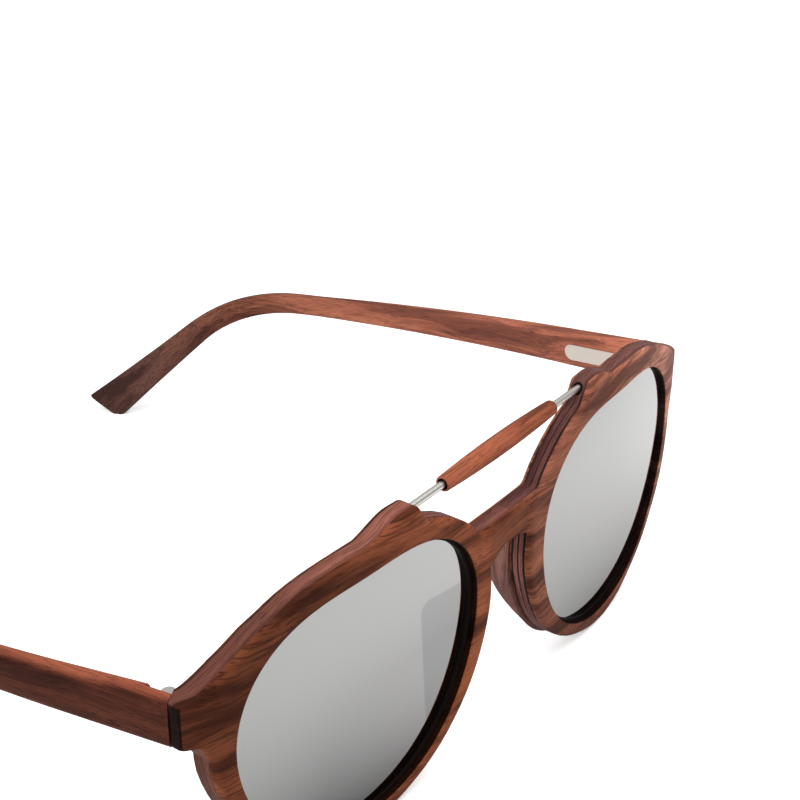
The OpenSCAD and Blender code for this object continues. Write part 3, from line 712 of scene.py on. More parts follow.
class Outline:
    """The outer outline of one half of the front, taken from the core ply, with its opening.

    STEP is the distance between points, MID_POINTS and MID_GAP set the row down the bridge, WIDE is the width
    of a running mean, DOUBLINGS is enough for loops of 2 ** 14 points, and points within NEAR are one point.
    """

    STEP = 0.3
    MID_POINTS = 12
    MID_GAP = 0.02
    WIDE = 21
    DOUBLINGS = 14
    NEAR = 0.03

    def __init__(self, front: FrontFrame) -> None:
        """Takes the half outline from the core ply and sets its points at even steps.

        The points are drawn in at the lower corners, and a straight row down the middle of the bridge
        closes the half.

        Args:
            front: the front's frame.
        """
        self.front = front
        loop = self.core_loop()
        half = self.half_outline(loop)
        step = np.hypot(*np.diff(half, axis=0).T)
        arc = np.concatenate([[0.0], np.cumsum(step)])
        even = np.linspace(0.0, arc[-1], int(arc[-1] / self.STEP) + 1)
        half = np.stack([np.interp(even, arc, half[:, 0]), np.interp(even, arc, half[:, 1])], -1)
        normal = self.normals(half)
        self.whole = half
        half = half - normal * self.slimmed(half)[:, None]
        inset = front.z.edge_r + self.MID_GAP
        down = np.linspace(half[-1, 1] - inset, half[0, 1] + inset, self.MID_POINTS)
        mid = np.stack([np.zeros(self.MID_POINTS), down], -1)
        self.points = np.concatenate([half, mid])
        self.normal = np.concatenate([normal, np.zeros_like(mid)])
        self.arc = np.concatenate([even, np.full(len(mid), even[-1])])
        self.angle = self.opening_angles()
        self.end_wall = fade(self.normal[:, 0], 0.75, 0.95) * (self.points[:, 0] > front.end_x - 1.0)
        self.edge_r = front.z.edge_r + (front.z.end_edge_r - front.z.edge_r) * self.end_wall

    def slimmed(self, half: np.ndarray) -> np.ndarray:
        """How far the outline is drawn in.

        It is the greatest draw times a flat-topped hump over the angles of each lower corner, the inner
        one half as high, and falls to nothing at the end piece.

        Args:
            half: the half outline.

        Returns:
            The draw at each point.
        """
        a = np.degrees(np.arctan2(half[:, 1], half[:, 0] - self.front.lens_x)) % 360
        inner = 0.5 * fade(a, 205, 220) * fade(a, 258, 246)
        outer = fade(a, 284, 296) * fade(a, 372, 352)
        inward = fade(self.front.end_x - half[:, 0], 6, 11)
        return self.front.z.rim_draw * (inner + outer) * inward

    def core_loop(self) -> np.ndarray:
        """Orders the outer edge of the core ply's front face.

        Edges with one triangle are the rim. Each rim point names the next, and doubling these links finds
        which points share a loop and how many steps each is from the loop's last point.

        Returns:
            The loop of (x, z) points.
        """
        front = self.front
        points, tris = node_arrays("ply_core", self.NEAR)
        flat = front.unplace(points)
        on_face = np.abs(flat[:, 1] - front.bow(flat[:, 0], front.depths[2])) < self.NEAR
        tris = tris[on_face[tris].all(1)]
        edges = np.concatenate([tris[:, [0, 1]], tris[:, [1, 2]], tris[:, [2, 0]]])
        pair = np.sort(edges, 1)
        _, number, count = np.unique(pair, axis=0, return_inverse=True, return_counts=True)
        rim = edges[count[number.reshape(-1)] == 1]
        follow = np.arange(len(points))
        follow[rim[:, 0]] = rim[:, 1]
        group, jump = np.arange(len(points)), follow.copy()
        for _ in range(self.DOUBLINGS):
            group = np.minimum(group, group[jump])
            jump = jump[jump]
        used = np.unique(rim)
        start = group[used[np.argmax(np.abs(flat[used, 0]))]]
        members = used[group[used] == start]
        last = members[follow[members] == start][0]
        follow[last] = last
        steps = np.where(np.arange(len(points)) == last, 0, 1)
        for _ in range(self.DOUBLINGS):
            steps = steps + steps[follow]
            follow = follow[follow]
        order = members[np.argsort(-steps[members])]
        loop = flat[order][:, [0, 2]]
        area = np.sum(loop[:, 0] * np.roll(loop[:, 1], -1) - np.roll(loop[:, 0], -1) * loop[:, 1])
        return loop if area > 0 else loop[::-1]

    def half_outline(self, loop: np.ndarray) -> np.ndarray:
        """Cuts the outline at x = 0.

        It starts at the lower of the two crossings, the arch over the nose.

        Args:
            loop: the whole outline.

        Returns:
            The +x half, from the arch round to the bridge's top.
        """
        following = np.roll(loop, -1, axis=0)
        cross = np.nonzero((loop[:, 0] < 0) & (following[:, 0] >= 0))[0]
        low = cross[np.argmin(loop[cross, 1])]
        loop = np.roll(loop, -(low + 1), axis=0)
        end = np.nonzero(loop[:, 0] < 0)[0][0]
        half = loop[:end]
        half = half[half[:, 0] > 0.02]
        return np.concatenate([[[0.0, half[0, 1]]], half, [[0.0, half[-1, 1]]]])

    @staticmethod
    def normals(half: np.ndarray) -> np.ndarray:
        """Normals of the half outline.

        They are the tangents turned by a right angle, after a running mean over five points. The
        outline is first lengthened by its mirror image, so that both ends come out upright.

        Args:
            half: the half outline.

        Returns:
            Outward unit normals.
        """
        mirror = half * np.array([-1.0, 1.0])
        pad = 8
        long = np.concatenate([mirror[1:pad + 1][::-1], half, mirror[-pad - 1:-1][::-1]])
        tangent = np.gradient(long, axis=0)
        kernel = np.array([1.0, 2.0, 3.0, 2.0, 1.0]) / 9.0
        soft = np.stack([np.convolve(tangent[:, k], kernel, "same") for k in (0, 1)], -1)[pad:-pad]
        soft /= np.linalg.norm(soft, axis=1, keepdims=True)
        return np.stack([soft[:, 1], -soft[:, 0]], -1)

    def opening_angles(self) -> np.ndarray:
        """Joins the outline to the opening.

        Each angle is the outline point's own about the lens centre, never falling, and softened by a
        running mean.

        Returns:
            For each outline point, the angle of the opening's point that it is joined to.
        """
        p = self.points
        raw = np.maximum.accumulate(np.unwrap(np.arctan2(p[:, 1], p[:, 0] - self.front.lens_x)))
        raw = np.minimum(raw, raw[0] + 2 * math.pi)
        wide = self.WIDE
        ext = np.concatenate([raw[-wide:] - 2 * math.pi, raw, raw[:wide] + 2 * math.pi])
        return np.convolve(ext, np.ones(wide) / wide, "same")[wide:-wide]

    def inner(self, grow: float) -> np.ndarray:
        """Args: grow: offset outward from the opening. Returns: (n, 2) points."""
        return self.front.lens_xz(self.angle, grow)

    def outer(self, inset: float) -> np.ndarray:
        """Args: inset: offset inward from the outline, in edge radii. Returns: (n, 2) points."""
        return self.points - self.normal * (inset * self.edge_r)[:, None]

    def sweep(self, profile: Sequence["Spot"]) -> np.ndarray:
        """Sweeps a section round the half.

        Args:
            profile: the section's points, in order.

        Returns:
            (n, m, 3) points of the front frame, with depth in place of y.
        """
        rows = []
        for spot in profile:
            xz = self.inner(spot.grow) * (1 - spot.share) + self.outer(spot.inset) * spot.share
            rows.append(np.stack([xz[:, 0], spot.depth + spot.drop * self.edge_r, xz[:, 1]], -1))
        return np.stack(rows, 1)


@dataclass(frozen=True)
class Spot:
    """One point of a ply's section.

    share runs from the opening to the outline, grow is an offset at the opening, inset and drop are in edge
    radii, depth is behind the face, and shade darkens the wood, 1 for not at all.
    """

    share: float
    depth: float
    grow: float = 0.0
    inset: float = 0.0
    drop: float = 0.0
    shade: float = 1.0


class Front:
    """The laminated front: five plies, liners, lenses, pads and the brow rod."""

    PLY_NAMES = ("ply_face", "ply_dark", "ply_core", "ply_line", "ply_back")
    PLY_WOODS = ("Face veneer", "Dark ply", "Core ply", "Dark ply", "Face veneer")
    VENEERS = (0, 4)
    FACE_STEPS = 14
    EDGE_STEPS = 7
    LENS_TURNS = 180
    LENS_STEPS = 26
    PAD_STEPS = 19
    ROD_TURNS = 40
    SLEEVE_TURNS = 72
    WALL_SHADE = 0.06
    SCOOP_HALF = 8.0
    LEAF_SEAT = 0.06

    def __init__(self, front: FrontFrame, finishes: Finishes) -> None:
        """Args: front: the front's frame; finishes: the materials."""
        self.front = front
        self.finishes = finishes
        self.outline = Outline(front)

    def scoop(self, x: np.ndarray, depth: np.ndarray) -> np.ndarray:
        """Hollows the bridge's face.

        The hollow is an arc across the bridge, and fades out through the face veneer.

        Args:
            x: places across.
            depth: depths behind the face.

        Returns:
            The depths with the hollow added.
        """
        s = self.front.z
        reach = np.minimum(np.abs(x), self.SCOOP_HALF)
        hollow = np.maximum(s.bridge_scoop - s.scoop_r + np.sqrt(s.scoop_r ** 2 - reach ** 2), 0)
        return depth + hollow * fade(depth, s.plies[0], 0.0)

    def surface(self, swept: np.ndarray) -> np.ndarray:
        """Bends a swept section on the bow, with the bridge's scoop, the mitred ends and the leaves' seats.

        Args:
            swept: (n, m, 3) x, depth and z.

        Returns:
            Points on the table.
        """
        f = self.front
        x, depth, z = np.moveaxis(swept, -1, 0)
        y = f.bow(x, self.scoop(x, depth))
        butt = f.butt_y - (x - f.temple_in) * math.tan(math.radians(f.z.mitre))
        y = np.where(x > f.axis_x, np.minimum(y, butt), y)
        leaf_x = f.axis_x - f.z.leaf_in
        turn = math.asin((leaf_x - f.wrap_c[0]) / (f.z.wrap_r - f.thick))
        leaf = f.bow(leaf_x, f.thick) + (x - leaf_x) * math.tan(turn) - self.LEAF_SEAT
        near = (np.abs(x - leaf_x) < f.z.leaf_w / 2) & (np.abs(z - f.z.hinge_rise) < f.z.leaf_h / 2)
        y = np.where(near, np.minimum(y, leaf), y)
        return f.place(x, y, z)

    def ply_profile(self, number: int) -> list[Spot]:
        """Section of a ply.

        A veneer runs from the wall of the opening over a small round lip, across its face and down a
        quarter round at the outline. The plies between are plain rectangles.

        Args:
            number: which ply, from the face.

        Returns:
            Its closed section.
        """
        s, d = self.front.z, self.front.depths
        top, bottom = float(d[number]), float(d[number + 1])
        across = np.linspace(0, 1, self.FACE_STEPS)
        turn = np.linspace(0, math.pi / 2, self.EDGE_STEPS)
        dark = self.WALL_SHADE
        if number in self.VENEERS:
            way, face, base = (1.0, 0.0, bottom) if number == 0 else (-1.0, self.front.thick, top)
            lip = [Spot(0.0, face + way * s.lip_r * (1 - math.cos(a)), grow=s.lip_r * (1 - math.sin(a)))
                   for a in turn[::-2]]
            wall = Spot(0.0, face + way * (s.lip_r + 0.02), shade=dark)
            flat = [Spot(f, face, grow=s.lip_r, inset=1.0) for f in across[1:-1]]
            edge = [Spot(1.0, face, inset=1 - math.sin(a), drop=way * (1 - math.cos(a))) for a in turn]
            return [Spot(0.0, base, shade=dark), wall, *lip, *flat, *edge, Spot(1.0, base)]
        return [Spot(0.0, top, shade=dark), Spot(1.0, top), Spot(1.0, bottom), Spot(0.0, bottom, shade=dark)]

    @staticmethod
    def both(left: np.ndarray, right: np.ndarray) -> np.ndarray:
        """Args: left, right: (..., 3) values on the two halves. Returns: all of them, (n, 3)."""
        return np.concatenate([left.reshape(-1, 3), right.reshape(-1, 3)])

    def ply(self, number: int) -> bpy.types.Object:
        """Builds one ply.

        Its section is swept round the left half, bent on the bow and mirrored. Faces that lie in the
        plane between the halves are left out. The grain of a veneer runs across, and that of the others
        along the edge.

        Args:
            number: which ply, from the face.

        Returns:
            The finished ply.
        """
        o, name = self.outline, self.PLY_NAMES[number]
        profile = self.ply_profile(number)
        swept = o.sweep(profile)
        half = self.surface(swept)
        nu, nv = half.shape[:2]
        x, depth, z = np.moveaxis(swept, -1, 0)
        arc = np.broadcast_to(o.arc[:, None], x.shape)
        if number in self.VENEERS:
            grain = np.stack([x, z + 0.35 * depth, 0.2 * depth + 40.0 * number], -1)
            other_grain = grain * Side.RIGHT.flip
        else:
            grain = other_grain = np.stack([arc, depth * 1.6, np.full_like(x, 30.0 * number)], -1)
        outside = np.array([spot.share == 1.0 for spot in profile])
        wall = outside & np.array([spot.inset < 0.5 for spot in profile])
        shade = np.array([spot.shade for spot in profile]) * (1 - 0.9 * o.end_wall[:, None] * wall)
        left, right = self.light_and_tone(number, x, z, depth)
        edge = outside * self.edge_strength()[:, None] * fade(depth, 0.95, 1.15)
        ply = np.stack([arc, depth, edge], -1)
        verts = self.both(half, half * Side.RIGHT.flip)
        faces = np.concatenate([grid_faces(nu, nv, True, True, start) for start in (0, nu * nv)])
        faces = faces[np.abs(verts[faces, 0]).max(1) > 1e-4]
        obj = build_mesh(name + "_wood", verts, faces, 50.0, {
            "grain": self.both(grain, other_grain),
            "shade": self.both(shade[..., None] * left, shade[..., None] * right),
            "ply": self.both(ply, ply)})
        return self.finishes.dress(obj, self.PLY_WOODS[number], name, "front")

    def light_and_tone(self, number: int, x: np.ndarray, z: np.ndarray,
              depth: np.ndarray) -> tuple[np.ndarray, np.ndarray]:
        """Painted light and shade over the front, with the wood's own tone, as they differ from side to side.

        Each is a mix of two colours by the distance from the bridge, times what it gains or loses
        towards the outer end, the top and the bottom. The darker bridge is the wood's own tone. The other
        gains and losses are painted light and shade mixed with the wood's uneven tone: on the veneers the
        left half is lighter and greyer, with a painted sheen at its wrap and darker towards its bottom, and
        the right half is more saturated and darker towards its end.

        Args:
            number: which ply, from the face.
            x, z, depth: places on the half front.

        Returns:
            Multipliers of the colour on the left and on the right half.
        """
        out, white = fade(x, 0, 9), (1.0, 1.0, 1.0)
        if number in self.VENEERS:
            bridge = (0.88, 0.8, 0.77)
            saddle = 1 - 0.3 * fade(x, 8, 4) * (depth < 0.9)
            left_light_and_tone = saddle * (1 + 0.35 * fade(x, 20, 40) * fade(z, -4, 6))
            # Left veneer: greyer away from the bridge, darker towards the bottom, and a painted sheen at the
            # wrap.
            left = (blend(out, bridge, (0.96, 1.0, 1.16)) * blend(fade(z, -8, -18), white, (0.6, 0.52, 0.5))
                    * blend(fade(x, 34, 54), white, (1.6, 2.0, 2.3)))
            # Right veneer: painted shade that darkens it towards its end and its upper outer corner.
            right_shade_and_tone = saddle * (1 - 0.36 * fade(x, 20, 44)) * (1 - 0.25 * fade(x, 32, 40) * fade(z, 4, 10))
            right = blend(out, bridge, (0.85, 0.72, 0.63))
        else:
            # Inner plies: painted light on the left's edge by the nose, painted shade high on its inner part,
            # and the right's edge darker towards its end.
            left_light_and_tone = 1 + 0.7 * fade(x, 16, 12) * fade(z, 4, 0)
            left_light_and_tone = left_light_and_tone * (1 - 0.25 * fade(z, 4, 10) * fade(x, 30, 24))
            left = blend(out, (0.54, 0.53, 0.54), (0.46, 0.46, 0.5))
            right_shade_and_tone = 1 - 0.5 * fade(x, 38, 52)
            right = blend(fade(x, 0, 18), (0.54, 0.52, 0.53), (0.67, 0.62, 0.57))
        return left * left_light_and_tone[..., None], right * right_shade_and_tone[..., None]

    def edge_strength(self) -> np.ndarray:
        """How dark the laminate's layers show along the outline.

        It is the greatest of a low level, 1 under the bridge, and 0.8 where the outline faces the nose.

        Returns:
            The strength at each outline point.
        """
        (x, z), across = self.outline.points.T, self.outline.normal[:, 0]
        nose = fade(x, 16, 10) * (z < z[0] + 0.5)
        inner = fade(x, 24, 21) * fade(across, 0, -0.5)
        return np.maximum(0.16, np.maximum(nose, 0.8 * inner))

    def liner(self, side: Side) -> bpy.types.Object:
        """Builds the dark ring in an opening.

        A rectangle with two soft corners is carried round the opening and bent on the bow.

        Args:
            side: which side.

        Returns:
            The ring.
        """
        s, f = self.front.z, self.front
        fore, rear = float(f.depths[1]) - 0.03, f.thick - s.liner_in
        seat, inner, soft = -0.02, -s.liner_t, 0.08
        grow = np.array([seat, inner + soft, inner, inner, inner + soft, seat])
        depth = np.array([fore, fore, fore + soft, rear - soft, rear, rear])
        x, z = np.moveaxis(f.lens_xz(full_turn(self.LENS_TURNS)[:, None], grow), -1, 0)
        points = f.place(x, f.bow(x, depth), z) * side.flip
        obj = build_grid(f"liner_{side.word}_ring", points, True, True, 35.0)
        return self.finishes.dress(obj, "Liner black", f"liner_{side.word}", "front")

    @staticmethod
    def painted_reflection(side: Side, out: np.ndarray, up: np.ndarray) -> np.ndarray:
        """Painted reflection on a lens: its brightness is a square law of the height, that also runs across
        the lens.

        Args:
            side: which side.
            out: from -1 at the nose to 1 at the temple.
            up: from -1 at the bottom to 1 at the top.

        Returns:
            Multipliers of the colour.
        """
        low = fade(up, 0, -1)
        if side is Side.LEFT:
            return (0.99 + 0.27 * up - 0.28 * up * up) * (1 + 0.14 * out * (1 - low))
        return (0.74 + 0.32 * up - 0.24 * up * up) * (1 - 0.13 * out + 0.65 * fade(out, 0.3, -0.7) * low)

    def lens(self, side: Side) -> bpy.types.Object:
        """Builds a mirrored lens with a dark back.

        The front and the back are copies of the groove's outline, shrunk step by step to the middle and
        bent on the flatter bow.

        Args:
            side: which side.

        Returns:
            The lens.
        """
        s, f = self.front.z, self.front
        share = np.linspace(0.0, 1.0, self.LENS_STEPS) ** 0.8
        middle = np.array([f.lens_x, 0.0])
        edge = f.lens_xz(full_turn(self.LENS_TURNS), s.groove_d - s.liner_t - 0.05) - middle
        x, z = np.moveaxis(middle + edge[:, None, :] * share[None, :, None], -1, 0)
        fore, rear = (f.place(x, f.lens_bow(x, s.lens_nose_depth + deeper), z) for deeper in (0.0, s.lens_t))
        # Painted reflection: the mirror's colour follows the height and the place across, darker on the right
        # lens and lighter low by its nose.
        lens_reflection = self.painted_reflection(side, (x - f.lens_x) / (s.lens_w / 2), z / (s.lens_h / 2))
        points = np.concatenate([fore, rear[:, ::-1]], 1) * side.flip
        obj = build_grid(f"lens_{side.word}_mirror", points, True, False, 35.0,
                         {"shade": np.concatenate([lens_reflection, lens_reflection[:, ::-1]], 1)})
        self.finishes.dress(obj, "Lens mirror", f"lens_{side.word}", "front")
        obj.data.materials.append(self.finishes.made["Lens back"][1])
        normal = np.zeros(len(obj.data.polygons) * 3, np.float32)
        obj.data.polygons.foreach_get("normal", normal)
        index = (normal.reshape(-1, 3)[:, 1] > 0.5).astype(np.int32)
        obj.data.polygons.foreach_set("material_index", index)
        return obj

    def pad(self, side: Side) -> bpy.types.Object:
        """Builds a nose pad, a carved crescent behind the rim.

        A half superellipse is carried along the nose side of the outline. Its height follows an arc and
        its width a power of a sine, and both die out at the ends.

        Args:
            side: which side.

        Returns:
            The pad.
        """
        s, f, o = self.front.z, self.front, self.outline
        x, z = o.whole.T
        a = np.degrees(np.arctan2(z, x - f.lens_x)) % 360
        pick = np.nonzero((a > s.pad_from) & (a < s.pad_to) & (x < f.lens_x) & (z < s.pad_top))[0]
        edge, normal, arc = o.whole[pick], o.normal[pick], o.arc[pick]
        part = (arc - arc[0]) / (arc[-1] - arc[0])
        round_off = np.sqrt(np.maximum(s.pad_round ** 2 - (edge[:, 1] + s.pad_drop) ** 2, 0)) - s.pad_round
        ends = fade(np.minimum(part, 1 - part), 0, 1 / 9)
        height = np.maximum(round_off + s.pad_t, 0.0) * np.sqrt(1 - (1 - ends) ** 2)
        width = s.pad_thin + (s.pad_w - s.pad_thin) * np.sin(math.pi * part) ** 0.7
        turn = np.linspace(0, math.pi, self.PAD_STEPS)
        across = 0.5 - 0.5 * np.sign(np.cos(turn)) * np.abs(np.cos(turn)) ** 0.8
        swell = s.pad_out * np.sin(math.pi * part)
        inset = s.pad_skin - swell[:, None] + across * (width + swell)[:, None]
        x, z = np.moveaxis(edge[:, None, :] - normal[:, None, :] * inset[..., None], -1, 0)
        rise = (height[:, None] + s.pad_sink) * np.sin(turn) ** 0.75 - s.pad_sink
        arc = np.broadcast_to(arc[:, None], x.shape)
        points = f.place(x, f.bow(x, f.thick) + rise, z) * side.flip
        obj = build_grid(f"nose_pad_{side.word}_wood", points, False, True, 60.0, {
            "grain": np.stack([arc, (f.thick + rise) * 1.4, inset + 90.0], -1),
            "shade": np.broadcast_to((0.8, 0.85, 0.88), points.shape)})
        return self.finishes.dress(obj, "Pad wood", f"nose_pad_{side.word}", "front")

    @staticmethod
    def revolve(profile: np.ndarray, turn: np.ndarray) -> np.ndarray:
        """Turns a profile round the rod's axis.

        Args:
            profile: (m, 2) x and radius.
            turn: (n, 1) angles in radians.

        Returns:
            (n, m, 3) points on the table.
        """
        y, z, _ = (v / MM for v in rod_line())
        x, r = profile.T
        return np.stack(np.broadcast_arrays(x, y + np.sin(turn) * r, z + np.cos(turn) * r), -1)

    def rod(self) -> bpy.types.Object:
        """Returns: the metal brow rod."""
        half, r = rod_line()[2] / MM, self.front.z.rod_d / 2
        profile = np.array([[-half, 0.0], *[[x, r] for x in np.linspace(-half, half, 12)], [half, 0.0]])
        points = self.revolve(profile, full_turn(self.ROD_TURNS)[:, None])
        obj = build_grid("brow_rod_metal", points, True, False, 40.0)
        return self.finishes.dress(obj, "Rod steel", "brow_rod", "front")

    def sleeve(self) -> bpy.types.Object:
        """Builds the turned wooden sleeve.

        The profile is a shallow arc between two ends, each with a soft rim and a cup round the rod, whose
        inside is painted in shade.

        Returns:
            The sleeve.
        """
        s = self.front.z
        half, end, rise = s.sleeve_l / 2, s.sleeve_end_d / 2, (s.sleeve_d - s.sleeve_end_d) / 2
        bow_r = (half ** 2 + rise ** 2) / (2 * rise)
        x = np.linspace(-half + 0.25, half - 0.25, 60)
        outer = np.stack([x, np.sqrt(bow_r ** 2 - x ** 2) - bow_r + s.sleeve_d / 2], -1)
        bore = (s.rod_d + s.sleeve_end_d) / 4
        cap = np.array([[half - 0.06, end - 0.06], [half, end - 0.16], [half - 0.04, bore],
                        [half - 0.06, bore], [half - s.sleeve_cup, bore],
                        [half - s.sleeve_cup - 0.01, s.rod_d / 2 + 0.01]])
        profile = np.concatenate([(cap * [-1, 1])[::-1], outer, cap])
        turn = full_turn(self.SLEEVE_TURNS)[:, None]
        points = self.revolve(profile, turn)
        x, r = profile.T
        grain = np.broadcast_arrays(x, r * np.cos(turn) * 1.2 + 140.0, r * np.sin(turn) * 1.2)
        # Painted shade inside the cups round the rod.
        dark = np.where((np.abs(x) < half - 0.05) & (r < bore + 0.01), 0.04, 1.0)
        obj = build_grid("brow_sleeve_wood", points, True, False, 50.0, {
            "grain": np.stack(grain, -1), "shade": np.broadcast_to(dark[:, None], points.shape)})
        return self.finishes.dress(obj, "Sleeve wood", "brow_sleeve", "front")

    def build(self) -> None:
        """Builds every piece of the front."""
        for number in range(len(self.PLY_NAMES)):
            self.ply(number)
        for side in Side:
            self.liner(side)
            self.lens(side)
            self.pad(side)
        self.rod()
        self.sleeve()


@dataclass(frozen=True)
class TempleSizes:
    """Sizes of a temple in millimetres and degrees, the main ones as in the CAD source."""

    height: float = 7.8
    waist_h: float = 4.0
    tip_h: float = 10.2
    thick: float = 3.6
    tip_t: float = 2.7
    bend_y: float = 116.5
    bend_r: float = 52.0
    slope: float = 1.9
    tip_angle: float = 37.5
    splay: float = 4.5
    sweep_r: float = 430.0
    sweep_y: float = 30.0
    tip_cut: float = 27.0
    tip_rest: float = 3.0
    butt_gap: float = 0.12
    ring_power: float = 0.42
    paddle_power: float = 1.9
    relief_y: float = 2.3
    relief_x: float = 1.75
    relief_step: float = 0.05
    lead: float = 4.0
    waist_in: float = 6.0
    paddle_in: float = 8.0
    overrun: float = 9.0
    tail: float = 8.0
    soft: float = 0.25


class Temple:
    """One wooden temple, lofted along its path, mitred in front and cut off level at the tip."""

    RING = 56
    SETTLINGS = 12
    HALVINGS = 50

    def __init__(self, front: FrontFrame, sizes: TempleSizes, finishes: Finishes) -> None:
        """Works out the path of a temple.

        The path is a straight, an arc and a straight. The second straight runs on under the table, and
        the tip's flat starts where the lower edge of the paddle meets the table.

        Args:
            front: the front's frame.
            sizes: the temple's sizes.
            finishes: the materials.
        """
        self.front, self.z, self.finishes = front, sizes, finishes
        t = sizes
        self.slope, self.tip = math.radians(t.slope), math.radians(t.tip_angle)
        tan = t.bend_r * math.tan((self.tip - self.slope) / 2)
        self.bend_l = t.bend_r * (self.tip - self.slope)
        self.straight = (t.bend_y - front.axis_y) / math.cos(self.slope) - tan
        corner = front.axis_z - (t.bend_y - front.axis_y) * math.tan(self.slope)
        self.end = self.straight + self.bend_l + corner / math.sin(self.tip) - tan + t.overrun
        self.tip_y = t.bend_y + corner / math.tan(self.tip)
        self.waist = self.straight - t.waist_in
        paddle = float(self.tall(np.array(self.end - t.paddle_in)))
        self.rest_y = self.tip_y - paddle / 2 / math.sin(self.tip)

    def angle(self, s: np.ndarray) -> np.ndarray:
        """Args: s: lengths along the path. Returns: the downward angle there."""
        return np.clip(self.slope + (s - self.straight) / self.z.bend_r, self.slope, self.tip)

    def path(self, s: np.ndarray) -> tuple[np.ndarray, np.ndarray]:
        """Path of a temple, seen from the side.

        It is the sum of what is walked on the first straight, on the arc and on the last straight.

        Args:
            s: lengths along the path.

        Returns:
            y and z of the path.
        """
        r, a = self.z.bend_r, self.angle(s)
        first = np.minimum(s, self.straight)
        last = np.maximum(s - self.straight - self.bend_l, 0)
        y = first * math.cos(self.slope) + r * (np.sin(a) - math.sin(self.slope)) + last * math.cos(self.tip)
        z = first * math.sin(self.slope) + r * (math.cos(self.slope) - np.cos(a)) + last * math.sin(self.tip)
        return self.front.axis_y + y, self.front.axis_z - z

    def tall(self, s: np.ndarray) -> np.ndarray:
        """Height of the section.

        It falls evenly to the waist, and then grows to the tip by a power of the length.

        Args:
            s: lengths along the path.

        Returns:
            The heights.
        """
        t = self.z
        first = t.height + (t.waist_h - t.height) * np.maximum(s, -t.lead) / self.waist
        part = np.clip((s - self.waist) / (self.end - self.waist), 0, None)
        return np.where(s < self.waist, first, t.waist_h + (t.tip_h - t.waist_h) * part ** t.paddle_power)

    def points(self, s: np.ndarray, q: np.ndarray) -> np.ndarray:
        """Carries a rounded section along the path.

        The section is a superellipse, and the path leans outward by the splay and curls back on a wide arc.

        Args:
            s: lengths along the path.
            q: angles round the section.

        Returns:
            Points before the shift in y.
        """
        t = self.z
        y, z = self.path(s)
        a = self.angle(s)
        over = np.maximum(y - t.sweep_y, 0)
        x = self.front.temple_in + (y - self.front.axis_y) * math.tan(math.radians(t.splay))
        x = x - (t.sweep_r - np.sqrt(t.sweep_r ** 2 - over ** 2))
        plan = math.radians(t.splay) - np.arcsin(over / t.sweep_r)
        thick = t.thick + (t.tip_t - t.thick) * np.maximum(s, 0) / self.end
        u = thick / 2 * np.sign(np.cos(q)) * np.abs(np.cos(q)) ** t.ring_power
        v = self.tall(s) / 2 * np.sign(np.sin(q)) * np.abs(np.sin(q)) ** t.ring_power
        return np.stack([x + thick / 2 * np.cos(plan) + u * np.cos(plan),
                         y - u * np.sin(plan) + v * np.sin(a), z + v * np.cos(a)], -1)

    def start_s(self, q: np.ndarray) -> np.ndarray:
        """Finds the mitred front.

        Each line along the temple is moved by its distance to the mitre plane until it starts there.

        Args:
            q: angles round the section.

        Returns:
            The length at which each line starts.
        """
        f, t = self.front, self.z
        s = np.zeros_like(q)
        for _ in range(self.SETTLINGS):
            p = self.points(s, q)
            lean = p[:, 1] * math.cos(f.tilt) + (p[:, 2] - f.lens_z) * math.sin(f.tilt)
            butt = f.butt_y - (p[:, 0] - f.temple_in) * math.tan(math.radians(f.z.mitre)) + t.butt_gap
            s = s + butt - lean
        return s

    def end_s(self, q: np.ndarray) -> np.ndarray:
        """Finds the cut tip.

        The span from the bend to the end is halved until each line meets the flat on the table, or the
        slope behind it.

        Args:
            q: angles round the section.

        Returns:
            The length at which each line ends.
        """
        low, high = np.full_like(q, self.straight), np.full_like(q, self.end)
        rise = math.tan(math.radians(self.z.tip_cut))
        for _ in range(self.HALVINGS):
            mid = (low + high) / 2
            p = self.points(mid, q)
            floor = np.maximum(0, (p[:, 1] - self.rest_y - self.z.tip_rest) * rise)
            above = p[:, 2] > floor
            low, high = np.where(above, mid, low), np.where(above, high, mid)
        return low

    @staticmethod
    def tone(side: Side, s: np.ndarray, outer: np.ndarray) -> np.ndarray:
        """Painted light and shade along a temple, with the wood's tone, interpolated between places along the
        path.
        The left temple's inner side is painted light near the hinge and darker towards the tip, where a
        painted grey sheen comes in; the right temple's outer side is painted in shade, and it darkens past
        the bend.

        Args:
            side: which side.
            s: lengths along the path.
            outer: 1 on the outer side, 0 on the inner.

        Returns:
            Multipliers of the colour.
        """
        if side is Side.LEFT:
            # Painted light on the inner side, strongest by the hinge and falling towards the tip.
            inner = np.interp(s, (0, 20, 50, 80, 103, 130, 160), (1.75, 1.7, 1.5, 1.15, 0.66, 0.5, 0.42))
            shade = np.minimum(inner, 1.1) * outer + inner * (1 - outer)
            # Painted grey sheen towards the tip.
            return shade[..., None] * blend(fade(s, 105, 140), (1.0, 1.02, 1.06), (0.8, 1.1, 1.5))
        # Painted shade on the outer side, and darker past the bend.
        shade = np.interp(s, (62, 102), (1.0, 0.6)) * (1 - 0.72 * outer)
        return shade[..., None] * np.array([0.95, 0.8, 0.77])

